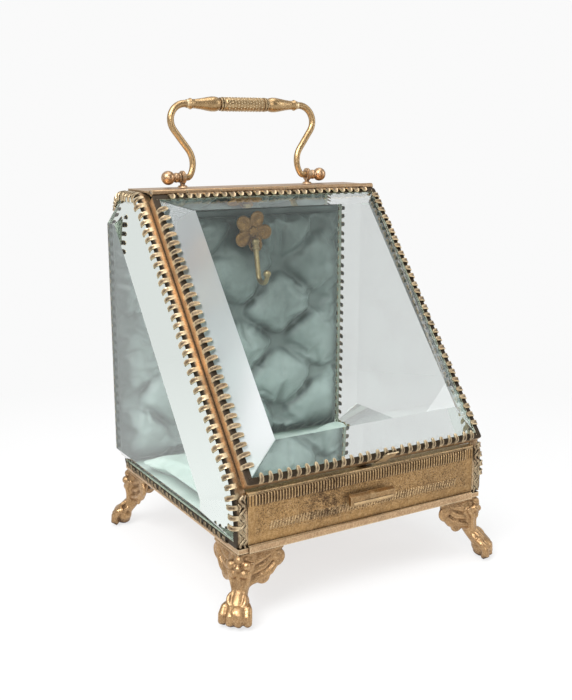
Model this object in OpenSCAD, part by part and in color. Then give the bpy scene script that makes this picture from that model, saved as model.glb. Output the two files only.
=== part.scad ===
// Slant-front glass watch casket: bevelled panes held in claw strip, a top-hung glass door,
// a push latch, a padded back with a watch hook, paw feet and a swinging bail handle.

/* [Case] */
// Width over the two side frames
case_w = 94; // [84:1:110]
// Depth from front post to back
case_d = 89; // [82:1:104]
// Height of the side frames, without the feet
case_h = 100.8; // [92:0.2:116]
// Height of the upright part below the slope
kick_h = 17.5; // [15.5:0.5:20]
// How far back the slope leans over its height
slope_run = 67; // [58:1:68]
// Clear height under the side frames
foot_h = 23.3; // [22:0.1:27]

/* [Claw strip] */
// Width of the side strip's web
strip_w = 3.6; // [3.2:0.1:4.4]
// Depth of the door strip's web
door_t = 3.8; // [3.4:0.1:4.4]
// Thickness of the strip's web
strip_t = 0.5; // [0.4:0.05:0.6]
// Height of the folded lip that the claws grow from
lip_h = 1; // [0.8:0.1:1.2]
// Thickness of lips and claws
lip_t = 0.4; // [0.3:0.05:0.45]
// Distance from claw to claw
claw_pitch = 3.2; // [3.1:0.1:4]
// Width of one claw
claw_w = 1.7; // [1.2:0.1:1.7]
// How far a claw reaches over the pane
claw_l = 3.4; // [3:0.1:3.5]
// Radius of a claw's bend
claw_r = 1.9; // [1.6:0.1:2.1]

/* [Glass] */
// Width of a pane's flat edge inside the lip
land_w = 0.7; // [0.6:0.05:0.9]
// Height of a side pane's raised face above its edge
side_rise = 7.4; // [5:0.2:8]
// Height of the door pane's raised face above its edge
door_rise = 6; // [4:0.2:7]
// Width of the ground bevels
bevel_w = 8.7; // [7.5:0.1:9]

/* [Door] */
// Distance from a side frame's outer face to the door's edge
door_inset = 2.3; // [1.8:0.1:3]
// Distance along the slope from its foot to the door's lower edge
door_foot = 0.8; // [0.6:0.1:1.6]
// Radius of the hinge barrel
barrel_r = 1.1; // [1:0.05:1.3]
// Radius of the hinge pin
hinge_pin_r = 0.5; // [0.4:0.05:0.6]
// Number of hinge knuckles
knuckles = 7; // [5:2:9]

/* [Handle] */
// Distance between the two ring eyes
eye_gap = 51.4; // [46:0.2:56]
// Distance of the handle's axis in front of the case's back
handle_in = 10.5; // [9.5:0.5:12.5]
// Height of the handle's axis above the top plate
axis_rise = 3.4; // [3.2:0.1:4.4]
// How far the standing handle leans back, in degrees
bail_lean = 5; // [0:0.5:8]
// Radius of the bail's rod
bail_r = 1.15; // [0.9:0.05:1.3]
// Radius of the end balls
ball_r = 2.45; // [2:0.05:2.6]
// Radius of the grip's barrel
grip_r = 2.5; // [2.2:0.1:2.9]

/* [Latch] */
// Length of the push bar
bar_l = 17; // [12:0.5:22]
// Height of the push bar
bar_h = 3.6; // [3:0.1:4.4]
// How far the bar moves in
press = 1.2; // [0.8:0.1:1.4]
// Radius of the bar's stem
stem_r = 1.2; // [1:0.05:1.4]
// Height of the stem above the side frames' foot
stem_z = 8.5; // [7.5:0.1:9.5]

/* [Lining] */
// Thickness of the tufted back pad
pad_t = 7.5; // [6:0.5:9]
// Distance of the back pad's upper edge below the top of the side frames
pad_drop = 13.1; // [13:0.1:20]
// Thickness of the floor cushion
cushion_t = 6; // [4:0.5:8]

/* [Watch hook] */
// Distance of the rosette's middle below the top of the side frames
rosette_drop = 18.2; // [18:0.2:24]
// Radius of the rosette over its petals
rosette_r = 8; // [7:0.2:9]
// Radius of the hook's bend
hook_bend = 3.3; // [3.2:0.1:4]
// Radius of the hook's rod
hook_rod = 0.9; // [0.7:0.05:1]

/* [Feet] */
// Length of a foot's scroll wings along the case
wing_l = 17; // [15:0.5:18]
// Radius of the paw's two body lobes
paw_r = 2.9; // [2.6:0.1:3.2]
// Distance of the paw's knuckles outside the case's corner
paw_out = 3; // [2.4:0.1:3.4]

/* [Hidden] */

gap = 0.05;            // fit of panes in strips, and radial running clearance of pins
seat_gap = 0.3;        // air between the closed door and what it rests over
plate_t = 0.7;         // thickness of the top, front and back sheets
base_t = 1.6;          // thickness of the base plate
big = 200;             // longer than anything on the casket

// ---- side outline: y runs to the back, z up from the frames' foot ----
front_y = -case_d / 2;
back_y = case_d / 2;
outline = [[front_y, 0], [back_y, 0], [back_y, case_h], [front_y + slope_run, case_h],
           [front_y, kick_h]];
corner_radii = [2, 2, 8, 8, 26];
sheet_radii = [0.3, 0.3, 8, 8, 26];
corner_steps = [2, 2, 4, 4, 5];
claw_steps = 16;       // chords per corner of the line that the claws stand on

function unit(v) = v / norm(v);
function wrap(list, i) = list[(i + len(list)) % len(list)];
function to_prev(p, i) = unit(wrap(p, i - 1) - p[i]);
function to_next(p, i) = unit(wrap(p, i + 1) - p[i]);
function half_angle(p, i) = acos(to_prev(p, i) * to_next(p, i)) / 2;
function bisector(p, i) = unit(to_prev(p, i) + to_next(p, i));
// the polygon moved inwards by d on every side
function inset(p, d) = [for (i = [0 : len(p) - 1]) p[i] + bisector(p, i) * d / sin(half_angle(p, i))];
// one corner rounded to radius r with n chords
function corner_arc(p, i, r, n) =
    let (half = half_angle(p, i),
         c = p[i] + bisector(p, i) * r / sin(half),
         s = p[i] + to_prev(p, i) * r / tan(half) - c,
         e = p[i] + to_next(p, i) * r / tan(half) - c,
         a0 = atan2(s.y, s.x),
         turn = (atan2(e.y, e.x) - a0 + 540) % 360 - 180)
    [for (k = [0 : n]) c + r * [cos(a0 + turn * k / n), sin(a0 + turn * k / n)]];
// the closed outline, inset by d, with all its corners rounded
function rounded(p, radii, steps, d) =
    let (q = inset(p, d))
    [for (i = [0 : len(q) - 1]) each corner_arc(q, i, max(radii[i] - d, 0.3), steps[i])];
function side_path(d) = rounded(outline, corner_radii, corner_steps, d);
// edge of a side pane's raised face, whose corners are ground nearly sharp
function face_path(d) = rounded(outline, [0, 0, 0, 0, d + 2], [1, 1, 1, 1, 3], d);
function claw_line(corners, radii) = rounded(corners, radii, [for (c = corners) claw_steps], 0);

// distances along a closed path to each of its points, and the full length last
function run(p) = [for (i = 0, s = 0; i <= len(p); s = s + norm(wrap(p, i + 1) - wrap(p, i)), i = i + 1) s];
function index_at(sums, d) = max([for (k = [0 : len(sums) - 2]) sums[k] <= d ? k : 0]);
// [point, direction] at distance d along the path
function place_at(p, sums, d) =
    let (k = index_at(sums, d), dir = unit(wrap(p, k + 1) - p[k])) [p[k] + dir * (d - sums[k]), dir];

// ---- the slope and the door on it ----
slope_a = atan(slope_run / (case_h - kick_h));     // lean of the slope from upright
slope_l = norm([slope_run, case_h - kick_h]);
door_w = case_w - 2 * door_inset;
door_top = slope_l - 3.9;                          // upper edge, just below the rounded corner
door_face = seat_gap + door_t;                     // height of the strip's outer edge off the slope
door_rect = [[-door_w / 2, door_foot], [door_w / 2, door_foot],
             [door_w / 2, door_top], [-door_w / 2, door_top]];
door_radii = [0.8, 0.8, 0.8, 0.8];
door_steps = [2, 2, 2, 2];
function door_path(d) = rounded(door_rect, door_radii, door_steps, d);
hinge_s = door_top + 1.4;                          // hinge axis along the slope
hinge_n = door_face - 0.9;                         // and off it
hinge_y = front_y + hinge_s * sin(slope_a) - hinge_n * cos(slope_a);
hinge_z = kick_h + hinge_s * cos(slope_a) + hinge_n * sin(slope_a);
knuckle_gap = 0.15;

// ---- handle ----
top_z = case_h + plate_t;
axis_z = top_z + axis_rise;
eye_x = eye_gap / 2;
handle_y = back_y - handle_in;
eye_w = 1.4;
eye_r = 2.4;
post_r = 0.9;
nut_r = 2;
nut_h = 1.3;
foot_turn = 1.6;       // bend where the rod turns out to its eye
lower_bend = 8;        // outward bow of the leg above the eye
upper_bend = 5.7;      // bend up into the grip
lean = 36.87;          // lean of the leg's straight stretch from upright
toe_lean = 32;         // lean of the rod where the foot turn meets the lower bow
leg_straight = 8;
lap = 0.1;             // how far a thicker stretch of rod runs over the next
foot_x = eye_x - 1.7;
function polar(a) = [cos(a), sin(a)];
foot_c = [foot_x, axis_z + foot_turn];
low_c = foot_c + (foot_turn - lower_bend) * polar(180 + toe_lean);
leg_a = low_c + lower_bend * polar(180 - lean);
leg_b = leg_a + leg_straight * [sin(lean), cos(lean)];
up_c = leg_b - upper_bend * polar(-lean);
grip_z = up_c.y + upper_bend;

// ---- latch: y positions from the front panel's back face inwards ----
panel_in = front_y + plate_t;
panel_h = kick_h - 0.7;
flange_l = 3;
clip_y = panel_in + gap;
clip_t = 0.6;
arm_y = front_y + flange_l + 0.9;
arm_t = 0.6;
spring_l = 3;
bracket_y = arm_y + arm_t + spring_l;
bracket_t = 0.6;
stem_end = bracket_y + bracket_t + 0.6;
bar_gap = press + 0.2;
bar_t = 1.6;
lug_t = 0.8;
lug_w = 5;
lug_d = 2.2;
lug_toe = 0.45;
nose_l = 0.4;
lining_t = 0.8;
step_y = stem_end + press + 0.4;       // front lining's board
step_top = panel_h - 0.9;

// ---- lining ----
inner_x = case_w / 2 - strip_w;        // inner face of a side frame
back_board_h = case_h - 10.8;
board_t = 1.9;
board_y = back_y - plate_t - 0.1 - board_t;
pad_y = board_y - 0.1 - pad_t;         // front of the back pad
floor_t = 1.6;
pad_h = case_h - pad_drop - floor_t - 0.1;
soft_gap = 0.3;
hole_at = 7.2;         // foot screws, in from both sides of the corner
screw_x = case_w / 2 - hole_at;
screw_y = case_d / 2 - hole_at;
screw_r = 1;
screw_l = 7;           // length of a screw below the base plate
head_r = 1.8;
head_h = 1;
petals = 5;
stud_r = 1;
rosette_z = case_h - rosette_drop;
root_r = 1.5;          // ball that roots the hook on the rosette
root_out = 2.9;        // its middle in front of the pad
root_low = 3.5;        // and below the rosette's middle
hook_kick = 2.2;       // how far the hook's stem runs forward
hook_drop = 11.1;      // over this height
tip_r = 1.4;
tip_up = 0.4;
hook_top = [pad_y - root_out, rosette_z - root_low];
hook_foot = [hook_top.x - hook_kick, hook_top.y - hook_drop];
spring_wire = 0.25;
spring_turns = 3.2;

// ---- helpers that place pieces ----
module on_slope() translate([0, front_y, foot_h + kick_h]) rotate([90 - slope_a, 0, 0]) children();
module raised() translate([0, 0, foot_h]) children();
// outline in y and z, drawn out along x
module sideways() rotate([90, 0, 90]) children();

// ---- claw strip ----
// section of one claw: inwards over the pane, and outwards off it
claw_section = concat(
    [[0, -lip_t]],
    [for (a = [180 : -30 : 90]) [claw_r + claw_r * cos(a), claw_r * sin(a)]],
    [[claw_l, claw_r - 0.35], [claw_l - 0.1, claw_r - lip_t - 0.35]],
    [for (a = [90 : 30 : 180]) [claw_r + (claw_r - lip_t) * cos(a), (claw_r - lip_t) * sin(a)]],
    [[lip_t, -lip_t]]);

module claw() translate([-claw_w / 2, 0, 0]) sideways() linear_extrude(claw_w) polygon(claw_section);

module inner_claw(depth) translate([-claw_w / 2, lip_h - 0.1, -depth]) cube([claw_w, claw_l - lip_h - 0.6, lip_t]);

// channel that holds a pane's edge: web, two folded lips, and claws off both lips along line;
// sharp lists the corners that no claw stands near
module claw_loop(path_0, path_web, path_lip, line, depth, sharp) {
    translate([0, 0, -depth]) linear_extrude(depth) difference() {
        polygon(path_0);
        polygon(path_web);
    }
    for (w = [-depth, -lip_t])
        translate([0, 0, w]) linear_extrude(lip_t) difference() {
            polygon(path_0);
            polygon(path_lip);
        }
    sums = run(line);
    total = sums[len(sums) - 1];
    count = round(total / claw_pitch);
    for (k = [0 : count - 1]) {
        spot = place_at(line, sums, (k + 0.5) * total / count);
        clear = min([for (c = sharp) norm(spot[0] - c)]);
        if (clear > claw_l + 0.4)
            translate([spot[0].x, spot[0].y, 0]) rotate([0, 0, atan2(spot[1].y, spot[1].x)]) {
                claw();
                inner_claw(depth);
            }
    }
}

// pane with a flat edge land under the lips and a bevelled, raised face;
// z 0 is the strip's outer edge
module pane(edge, land, face, depth, rise) {
    back = -depth + lip_t + gap;
    front = -lip_t - gap;
    translate([0, 0, back]) linear_extrude(front - back) polygon(edge);
    hull() {
        translate([0, 0, front - 0.2]) linear_extrude(0.2) polygon(land);
        translate([0, 0, front + rise - 0.02]) linear_extrude(0.02) polygon(face);
    }
}

module right_frame_shape()
    translate([case_w / 2, 0, foot_h]) sideways()
        claw_loop(side_path(0), side_path(strip_t), side_path(lip_h), claw_line(outline, corner_radii),
                  strip_w, [outline[0], outline[1]]);

module right_pane_shape()
    translate([case_w / 2, 0, foot_h]) sideways()
        pane(side_path(strip_t + gap), side_path(lip_h + land_w), face_path(lip_h + land_w + bevel_w),
             strip_w, side_rise);

module right_side_frame() color("#b58c4f") right_frame_shape();
module left_side_frame() color("#b58c4f") mirror([1, 0, 0]) right_frame_shape();
module right_side_glass() color("#dfe8ea", 0.35) right_pane_shape();
module left_side_glass() color("#dfe8ea", 0.35) mirror([1, 0, 0]) right_pane_shape();

// ---- door ----
module door_frame() color("#b58c4f")
    on_slope() translate([0, 0, door_face])
        claw_loop(door_path(0), door_path(strip_t), door_path(lip_h), claw_line(door_rect, door_radii),
                  door_t, door_rect);

module door_glass() color("#dfe8ea", 0.35)
    on_slope() translate([0, 0, door_face])
        pane(door_path(strip_t + gap), door_path(lip_h + land_w), door_path(lip_h + land_w + bevel_w),
             door_t, door_rise);

knuckle_run = door_w - 0.6;
knuckle_l = knuckle_run / knuckles;
module knuckle(k) {
    at = -knuckle_run / 2 + k * knuckle_l + knuckle_gap / 2;
    translate([at, 0, 0]) sideways() linear_extrude(knuckle_l - knuckle_gap) difference() {
        circle(barrel_r, $fn = 48);
        circle(hinge_pin_r + gap, $fn = 32);
    }
}

// leaf under the top plate with every other knuckle
leaf_t = 0.4;
leaf_l = 4;
module case_hinge_leaf() color("#a67c42") raised() {
    for (k = [0 : 2 : knuckles - 1]) {
        translate([0, hinge_y, hinge_z]) knuckle(k);
        at = -knuckle_run / 2 + k * knuckle_l + knuckle_gap / 2;
        difference() {
            translate([at, hinge_y, case_h - leaf_t]) cube([knuckle_l - knuckle_gap, leaf_l - 1, leaf_t]);
            translate([0, hinge_y, hinge_z]) sideways()
                cylinder(h = big, r = barrel_r - 0.2, center = true, $fn = 48);
        }
    }
    translate([-inner_x + soft_gap, hinge_y + barrel_r + 0.3, case_h - leaf_t])
        cube([2 * (inner_x - soft_gap), leaf_l, leaf_t]);
}

// leaf on the door's upper web with the knuckles between
module door_hinge_leaf() color("#a67c42") {
    for (k = [1 : 2 : knuckles - 2]) {
        raised() translate([0, hinge_y, hinge_z]) rotate([90 - slope_a, 0, 0]) knuckle(k);
        at = -knuckle_run / 2 + k * knuckle_l + knuckle_gap / 2;
        on_slope() difference() {
            translate([at, door_top, hinge_n - 1.3])
                cube([knuckle_l - knuckle_gap, hinge_s - door_top - 0.6, 2]);
            translate([0, hinge_s, hinge_n]) sideways()
                cylinder(h = big, r = barrel_r - 0.2, center = true, $fn = 48);
        }
    }
}

module hinge_pin() color("#8f8a80") raised()
    translate([-knuckle_run / 2, hinge_y, hinge_z]) sideways()
        cylinder(h = knuckle_run, r = hinge_pin_r, $fn = 32);

// small hook under the door's lower rail, its toe turned towards the catch arm
module door_lug() color("#a67c42") on_slope() {
    translate([-lug_w / 2, door_foot + 0.7, seat_gap - lug_d]) cube([lug_w, lug_t, lug_d]);
    translate([-lug_w / 2, door_foot + 0.7, seat_gap - lug_d]) cube([lug_w, lug_t + lug_toe, 0.6]);
}

// ---- sheets of the case ----
module base_plate() color("#b58c4f") raised() difference() {
    union() {
        translate([-case_w / 2 + 0.3, front_y, -base_t]) cube([case_w - 0.6, case_d - 0.3, base_t]);
        translate([-inner_x + 0.2, front_y - 0.7, -base_t]) cube([2 * inner_x - 0.4, 1, base_t]);
        translate([-inner_x + 0.2, front_y - 0.7, 0]) cube([2 * inner_x - 0.4, 0.7, 0.3]);
        translate([-inner_x + 0.2, front_y, 0]) sideways()
            intersection() {
                cylinder(h = 2 * inner_x - 0.4, r = 0.7, $fn = 32);
                translate([-0.7, 0, 0]) cube([0.7, 0.7, big]);
            }
    }
    for (x = [-screw_x, screw_x], y = [-screw_y, screw_y])
        translate([x, y, -base_t - 1]) cylinder(h = base_t + 2, r = screw_r + 0.1, $fn = 32);
}

module front_panel() color("#b58c4f") raised() difference() {
    union() {
        translate([-inner_x + gap, front_y, 0]) cube([2 * (inner_x - gap), plate_t, panel_h]);
        translate([-inner_x + gap, front_y, panel_h - plate_t])
            cube([2 * (inner_x - gap), flange_l, plate_t]);
    }
    translate([0, front_y - 1, stem_z]) rotate([-90, 0, 0])
        cylinder(h = plate_t + 2, r = stem_r + gap, $fn = 32);
}

// sheet of thickness t that follows the side frames at a depth of d, between two heights;
// it rounds the top corner at the back and reaches forward to y_from there
module wrapped_sheet(d, t, half_w, z_from, y_from)
    translate([-half_w, 0, 0]) sideways() linear_extrude(2 * half_w) intersection() {
        difference() {
            polygon(rounded(outline, sheet_radii, corner_steps, d));
            polygon(rounded(outline, sheet_radii, corner_steps, d + t));
        }
        union() {
            translate([back_y - d - t - 0.01, z_from]) square([d + t + 1, case_h]);
            translate([y_from, case_h - sheet_radii[2]]) square([back_y - y_from, sheet_radii[2] + 1]);
        }
    }

module back_panel() color("#b58c4f") raised() {
    border = 10;
    bead = 1.4;
    wrapped_sheet(0, plate_t, inner_x - gap, 0, back_y - sheet_radii[2]);
    translate([0, back_y, 0]) rotate([90, 0, 0]) translate([0, 0, -0.4]) linear_extrude(0.5)
        difference() {
            translate([-inner_x + border, border]) square([2 * (inner_x - border), case_h - 2 * border]);
            translate([-inner_x + border + bead, border + bead])
                square([2 * (inner_x - border - bead), case_h - 2 * (border + bead)]);
        }
}

module top_plate() color("#c09a5e") raised() difference() {
    translate([-door_w / 2, hinge_y + barrel_r + 0.15, case_h])
        cube([door_w, back_y - 7 - hinge_y - barrel_r - 0.15, plate_t]);
    for (x = [-eye_x, eye_x])
        translate([x, handle_y, case_h - 1]) cylinder(h = plate_t + 2, r = stud_r, $fn = 32);
}

// ---- lining ----
module top_lining() color("#6d8a80") raised() difference() {
    wrapped_sheet(plate_t + 0.1, board_t, inner_x - soft_gap, back_board_h + 0.1, hinge_y + leaf_l + 1);
    for (x = [-eye_x, eye_x])
        translate([x, handle_y, case_h - 2 * nut_h]) cylinder(h = 3 * nut_h, r = nut_r + 0.4, $fn = 32);
}

module back_board() color("#6d8a80") raised() difference() {
    translate([-inner_x + soft_gap, board_y, 0.1])
        cube([2 * (inner_x - soft_gap), board_t, back_board_h - 0.1]);
    translate([0, board_y - 1, rosette_z]) rotate([-90, 0, 0])
        cylinder(h = board_t + 2, r = stud_r + 0.1, $fn = 32);
}

module back_pad() color("#5f7d74") raised() difference() {
    translate([0, board_y - 0.1, 0]) rotate([90, 0, 0]) {
        w = inner_x - 1;
        step = 1.5;
        translate([-w, floor_t + 0.1, 0]) cube([2 * w, pad_h, pad_t - step]);
        translate([-w + step, floor_t + 0.1 + step, pad_t - step - 0.1])
            cube([2 * (w - step), pad_h - 2 * step, step + 0.1]);
    }
    translate([0, pad_y - 1, rosette_z]) rotate([-90, 0, 0])
        cylinder(h = pad_t + 2, r = stud_r + soft_gap, $fn = 32);
}

module floor_board() color("#9db5a8") raised() difference() {
    translate([-inner_x + 0.8, step_y + lining_t + 0.1, 0])
        cube([2 * (inner_x - 0.8), board_y - step_y - lining_t - 0.2, floor_t]);
    for (x = [-screw_x, screw_x])
        translate([x, screw_y, -1]) cylinder(h = floor_t + 2, r = head_r + soft_gap, $fn = 32);
}

module floor_cushion() color("#c5d6cc") raised() {
    w = inner_x - 1.2;
    from = step_y + lining_t + soft_gap + 0.2;
    l = pad_y - soft_gap - from;
    step = 1.6;
    translate([-w, from, floor_t + 0.1]) cube([2 * w, l, cushion_t - step]);
    translate([-w + 2, from + 2, floor_t + cushion_t - step]) cube([2 * w - 4, l - 4, step]);
}

module front_lining() color("#6d8a80") raised() {
    translate([-inner_x + 0.8, step_y, 0]) cube([2 * (inner_x - 0.8), lining_t, step_top]);
    difference() {
        translate([-inner_x + 0.8, front_y + plate_t + 0.3, step_top - lining_t])
            cube([2 * (inner_x - 0.8), step_y - front_y - plate_t, lining_t]);
        translate([-3.4, front_y - 1, step_top - lining_t - 1])
            cube([6.8, arm_y + arm_t + press + 0.4 - front_y + 1, 4]);
    }
}

// ---- latch ----
module on_stem() translate([0, 0, foot_h + stem_z]) rotate([-90, 0, 0]) children();

module latch_button() color("#c09a5e") {
    bar_y = front_y - bar_gap - bar_t;
    translate([-bar_l / 2, bar_y, foot_h + stem_z]) sideways() linear_extrude(bar_l)
        polygon([[bar_t, -bar_h / 2], [0.5, -bar_h / 2], [0, -bar_h / 2 + 0.5],
                 [0, bar_h / 2 - 0.9], [0.7, bar_h / 2], [bar_t, bar_h / 2]]);
    on_stem() translate([0, 0, bar_y + bar_t / 2]) cylinder(h = stem_end - bar_y - bar_t / 2, r = stem_r, $fn = 32);
}

module button_clip() color("#8f8a80") on_stem() translate([0, 0, clip_y]) difference() {
    cylinder(h = clip_t, r = 2.3, $fn = 32);
    translate([0, 0, -1]) cylinder(h = 3, r = stem_r + gap, $fn = 32);
}

// plate on the stem whose nose stands over the toe of the door's hook
module catch_arm() color("#8f8a80") difference() {
    union() {
        translate([-2, arm_y, foot_h + stem_z - 2.2])
            cube([4, arm_t, panel_h + 3.2 - stem_z + 2.2]);
        translate([-2, arm_y - nose_l, foot_h + panel_h + 2.4]) cube([4, nose_l, 0.8]);
    }
    on_stem() translate([0, 0, arm_y - 1]) cylinder(h = 3, r = stem_r + gap, $fn = 32);
}

module latch_bracket() color("#a67c42") raised() difference() {
    union() {
        translate([-4, bracket_y, 0]) cube([8, bracket_t, stem_z + 3.2]);
        translate([-4, bracket_y - 4.5, 0]) cube([8, 4.6, bracket_t]);
    }
    translate([0, bracket_y - 1, stem_z]) rotate([-90, 0, 0])
        cylinder(h = bracket_t + 2, r = stem_r + gap, $fn = 32);
}

// coil round the stem, between the catch arm and the bracket
function coil_ring(t, r, sides) =
    let (a = 360 * spring_turns * t, c = [(r) * cos(a), r * sin(a), t * (spring_l - 2 * spring_wire - 0.04)])
    [for (k = [0 : sides - 1])
        let (b = 360 * k / sides)
        c + spring_wire * [cos(b) * cos(a), cos(b) * sin(a), sin(b)]];
module latch_spring() color("#8f8a80") {
    sides = 6;
    rings = 52;
    points = [for (i = [0 : rings]) each coil_ring(i / rings, stem_r + 0.55, sides)];
    skin = [for (i = [0 : rings - 1], k = [0 : sides - 1])
        [i * sides + k, (i + 1) * sides + k, (i + 1) * sides + (k + 1) % sides, i * sides + (k + 1) % sides]];
    start = [for (k = [0 : sides - 1]) k];
    end = [for (k = [sides - 1 : -1 : 0]) rings * sides + k];
    on_stem() translate([0, 0, arm_y + arm_t + spring_wire + 0.02])
        polyhedron(points, concat([start], skin, [end]));
}

// ---- handle ----
module post_shape() {
    translate([-eye_w / 2, handle_y, axis_z]) sideways() difference() {
        union() {
            translate([0, 0, 0.3]) cylinder(h = eye_w - 0.6, r = eye_r, $fn = 48);
            cylinder(h = eye_w, r = eye_r - 0.3, $fn = 48);
        }
        translate([0, 0, -1]) cylinder(h = eye_w + 2, r = bail_r + gap, $fn = 48);
    }
    translate([0, handle_y, case_h - 1.8]) cylinder(h = axis_z - eye_r + 0.4 - case_h + 1.8, r = post_r, $fn = 32);
    translate([0, handle_y, top_z]) cylinder(h = 0.7, r1 = 2, r2 = 1.4, $fn = 40);
}

module left_handle_post() color("#c79a74") raised() translate([-eye_x, 0, 0]) post_shape();
module right_handle_post() color("#c79a74") raised() translate([eye_x, 0, 0]) post_shape();

module handle_post_nuts() color("#a67c42") raised()
    for (x = [-eye_x, eye_x])
        translate([x, handle_y, case_h - nut_h]) difference() {
            cylinder(h = nut_h, r = nut_r, $fn = 6);
            translate([0, 0, -1]) cylinder(h = nut_h + 2, r = post_r + gap, $fn = 32);
        }

// a bent stretch of rod in the handle's plane, from angle a0 to a1
module rod_bend(c, bend, a0, a1, r)
    translate([c.x, 0, c.y]) rotate([90, 0, 0]) rotate([0, 0, a0])
        rotate_extrude(angle = a1 - a0, $fn = 64) translate([bend, 0]) circle(r, $fn = 24);

// the rod thins a little from the grip down to its turned-out foot
module bail_leg() {
    translate([foot_x - lap, 0, axis_z]) sideways()
        cylinder(h = eye_x + 3.6 - foot_x + lap, r = bail_r, $fn = 32);
    rod_bend(foot_c, foot_turn, 180 + toe_lean, 270, bail_r - 0.1);
    rod_bend(low_c, lower_bend, 180 - lean, 180 + toe_lean + 0.4, bail_r - 0.05);
    translate([leg_a.x, 0, leg_a.y]) rotate([0, lean, 0]) translate([0, 0, -lap])
        cylinder(h = leg_straight + 2 * lap, r = bail_r + 0.05, $fn = 32);
    rod_bend(up_c, upper_bend, -lean, 90, bail_r);
}

// half of the turned grip's outline: radius, distance from the middle
grip_half = [[grip_r, 7.6], [grip_r - 0.1, 8.4], [grip_r - 0.5, 8.9], [grip_r - 0.6, 9.6],
             [grip_r - 0.1, 10.4], [grip_r + 0.1, 11.6], [grip_r + 0.1, 13.4], [grip_r - 0.3, 15.6],
             [grip_r - 0.8, 18.4], [grip_r - 0.9, 20.4], [grip_r - 0.5, 20.9],
             [grip_r - 0.5, up_c.x - 1.6], [bail_r + 0.1, up_c.x - 1],
             [bail_r + 0.1, up_c.x + lap], [0, up_c.x + lap]];
grip_points = concat([for (p = grip_half) p],
                     [for (k = [len(grip_half) - 1 : -1 : 0]) [grip_half[k].x, -grip_half[k].y]]);

module bail_handle() color("#b98f52") raised()
    translate([0, handle_y, axis_z]) rotate([-bail_lean, 0, 0]) translate([0, 0, -axis_z]) {
        for (m = [0, 1]) mirror([m, 0, 0]) bail_leg();
        translate([0, 0, grip_z]) sideways() rotate_extrude($fn = 48) polygon(grip_points);
    }

// bead and ball that keep the bail in its eyes
module finial_shape() translate([eye_x + eye_w / 2 + 0.3, handle_y, axis_z]) sideways() difference() {
    union() {
        cylinder(h = 0.6, r = 1.7, $fn = 40);
        translate([0, 0, 1.3]) sphere(1.75, $fn = 48);
        translate([0, 0, 1.3]) cylinder(h = 2, r = 1.45, $fn = 40);
        translate([0, 0, 2 + ball_r]) sphere(ball_r, $fn = 64);
    }
    translate([0, 0, -2]) cylinder(h = 2 + 3.2, r = bail_r + gap, $fn = 32);
    translate([-big / 2, -big / 2, -big]) cube(big);
}

module right_finial() color("#c79a74") raised() finial_shape();
module left_finial() color("#c79a74") raised() mirror([1, 0, 0]) finial_shape();

// ---- rosette and hook ----
petal_cap = 1.7;
petal_sphere = 4.3;
module rosette() color("#b98f52") raised() translate([0, pad_y - soft_gap, rosette_z]) rotate([90, 0, 0]) {
    cylinder(h = 0.7, r = rosette_r - 2.6, $fn = 48);
    for (k = [0 : petals - 1]) rotate([0, 0, 90 + 360 * k / petals]) translate([rosette_r - 3.3, 0, 0])
        intersection() {
            translate([0, 0, petal_cap - petal_sphere]) sphere(petal_sphere, $fn = 48);
            cylinder(h = 3, r = 3.3, $fn = 48);
        }
    translate([0, 0, 0.6]) cylinder(h = 1.3, r = 1.9, $fn = 32);
    translate([0, 0, -(pad_t + soft_gap + board_t)]) cylinder(h = pad_t + soft_gap + board_t + 0.1, r = stud_r, $fn = 32);
}

// hook soldered to the front of the rosette, with a ball at its tip
module watch_hook() color("#c7a05f") raised() {
    rise = hook_top - hook_foot;
    c = [hook_foot.x - hook_bend, hook_foot.y];
    translate([0, hook_top.x, hook_top.y]) sphere(root_r, $fn = 40);
    translate([0, hook_foot.x, hook_foot.y]) rotate([-atan2(rise.x, rise.y), 0, 0])
        cylinder(h = norm(rise), r = hook_rod, $fn = 32);
    translate([0, c.x, c.y]) rotate([90, 0, 90]) rotate([0, 0, 180])
        rotate_extrude(angle = 180, $fn = 64) translate([hook_bend, 0]) circle(hook_rod, $fn = 32);
    translate([0, c.x - hook_bend, c.y + tip_up]) sphere(tip_r, $fn = 40);
}

// ---- feet: cast, with a scroll wing along each side and a leg that kicks out to a paw ----
foot_z = foot_h - base_t;      // height of a foot
wing_t = 3;
wing_proud = 0.2;              // how far the wings stand out from the case
edge_in = 0.4;                 // how far the leg's edge stands inside the case's corner

module scroll_wing() translate([0, wing_t - wing_proud, 0]) rotate([90, 0, 0]) linear_extrude(wing_t) union() {
    polygon([[edge_in, foot_z], [wing_l - 0.6, foot_z], [wing_l - 0.4, foot_z - 3], [wing_l - 3.4, foot_z - 7],
             [wing_l - 7, foot_z - 9.6], [5.4, foot_z - 10.6], [2.6, foot_z - 12], [edge_in, foot_z - 12]]);
    translate([wing_l - 3.2, foot_z - 3.4]) circle(3.2, $fn = 32);
    translate([wing_l - 7.4, foot_z - 7.4]) circle(2.9, $fn = 32);
}

// profile of the leg on the corner's diagonal: distance outside the corner, height
leg_side = [[-11, foot_z], [1, foot_z], [-0.2, 14], [-1.8, 11], [-1.9, 9.6], [-0.8, 8.2], [1.2, 7],
            [-0.4, 4.2], [-2.6, 5.6], [-4.6, 8], [-5.6, 10.4], [-7.4, 13.4], [-9, 17]];
leg_edge_z = 11.5;             // height above which the leg keeps to the case's corner
// half of its outline seen from the corner: half width, height
leg_half = [[0, foot_z], [8.2, foot_z], [6.2, foot_z - 4.6], [4.4, 13.2], [3.4, 10.4], [3.2, 8.4], [3.6, 4], [0, 4]];

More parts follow.
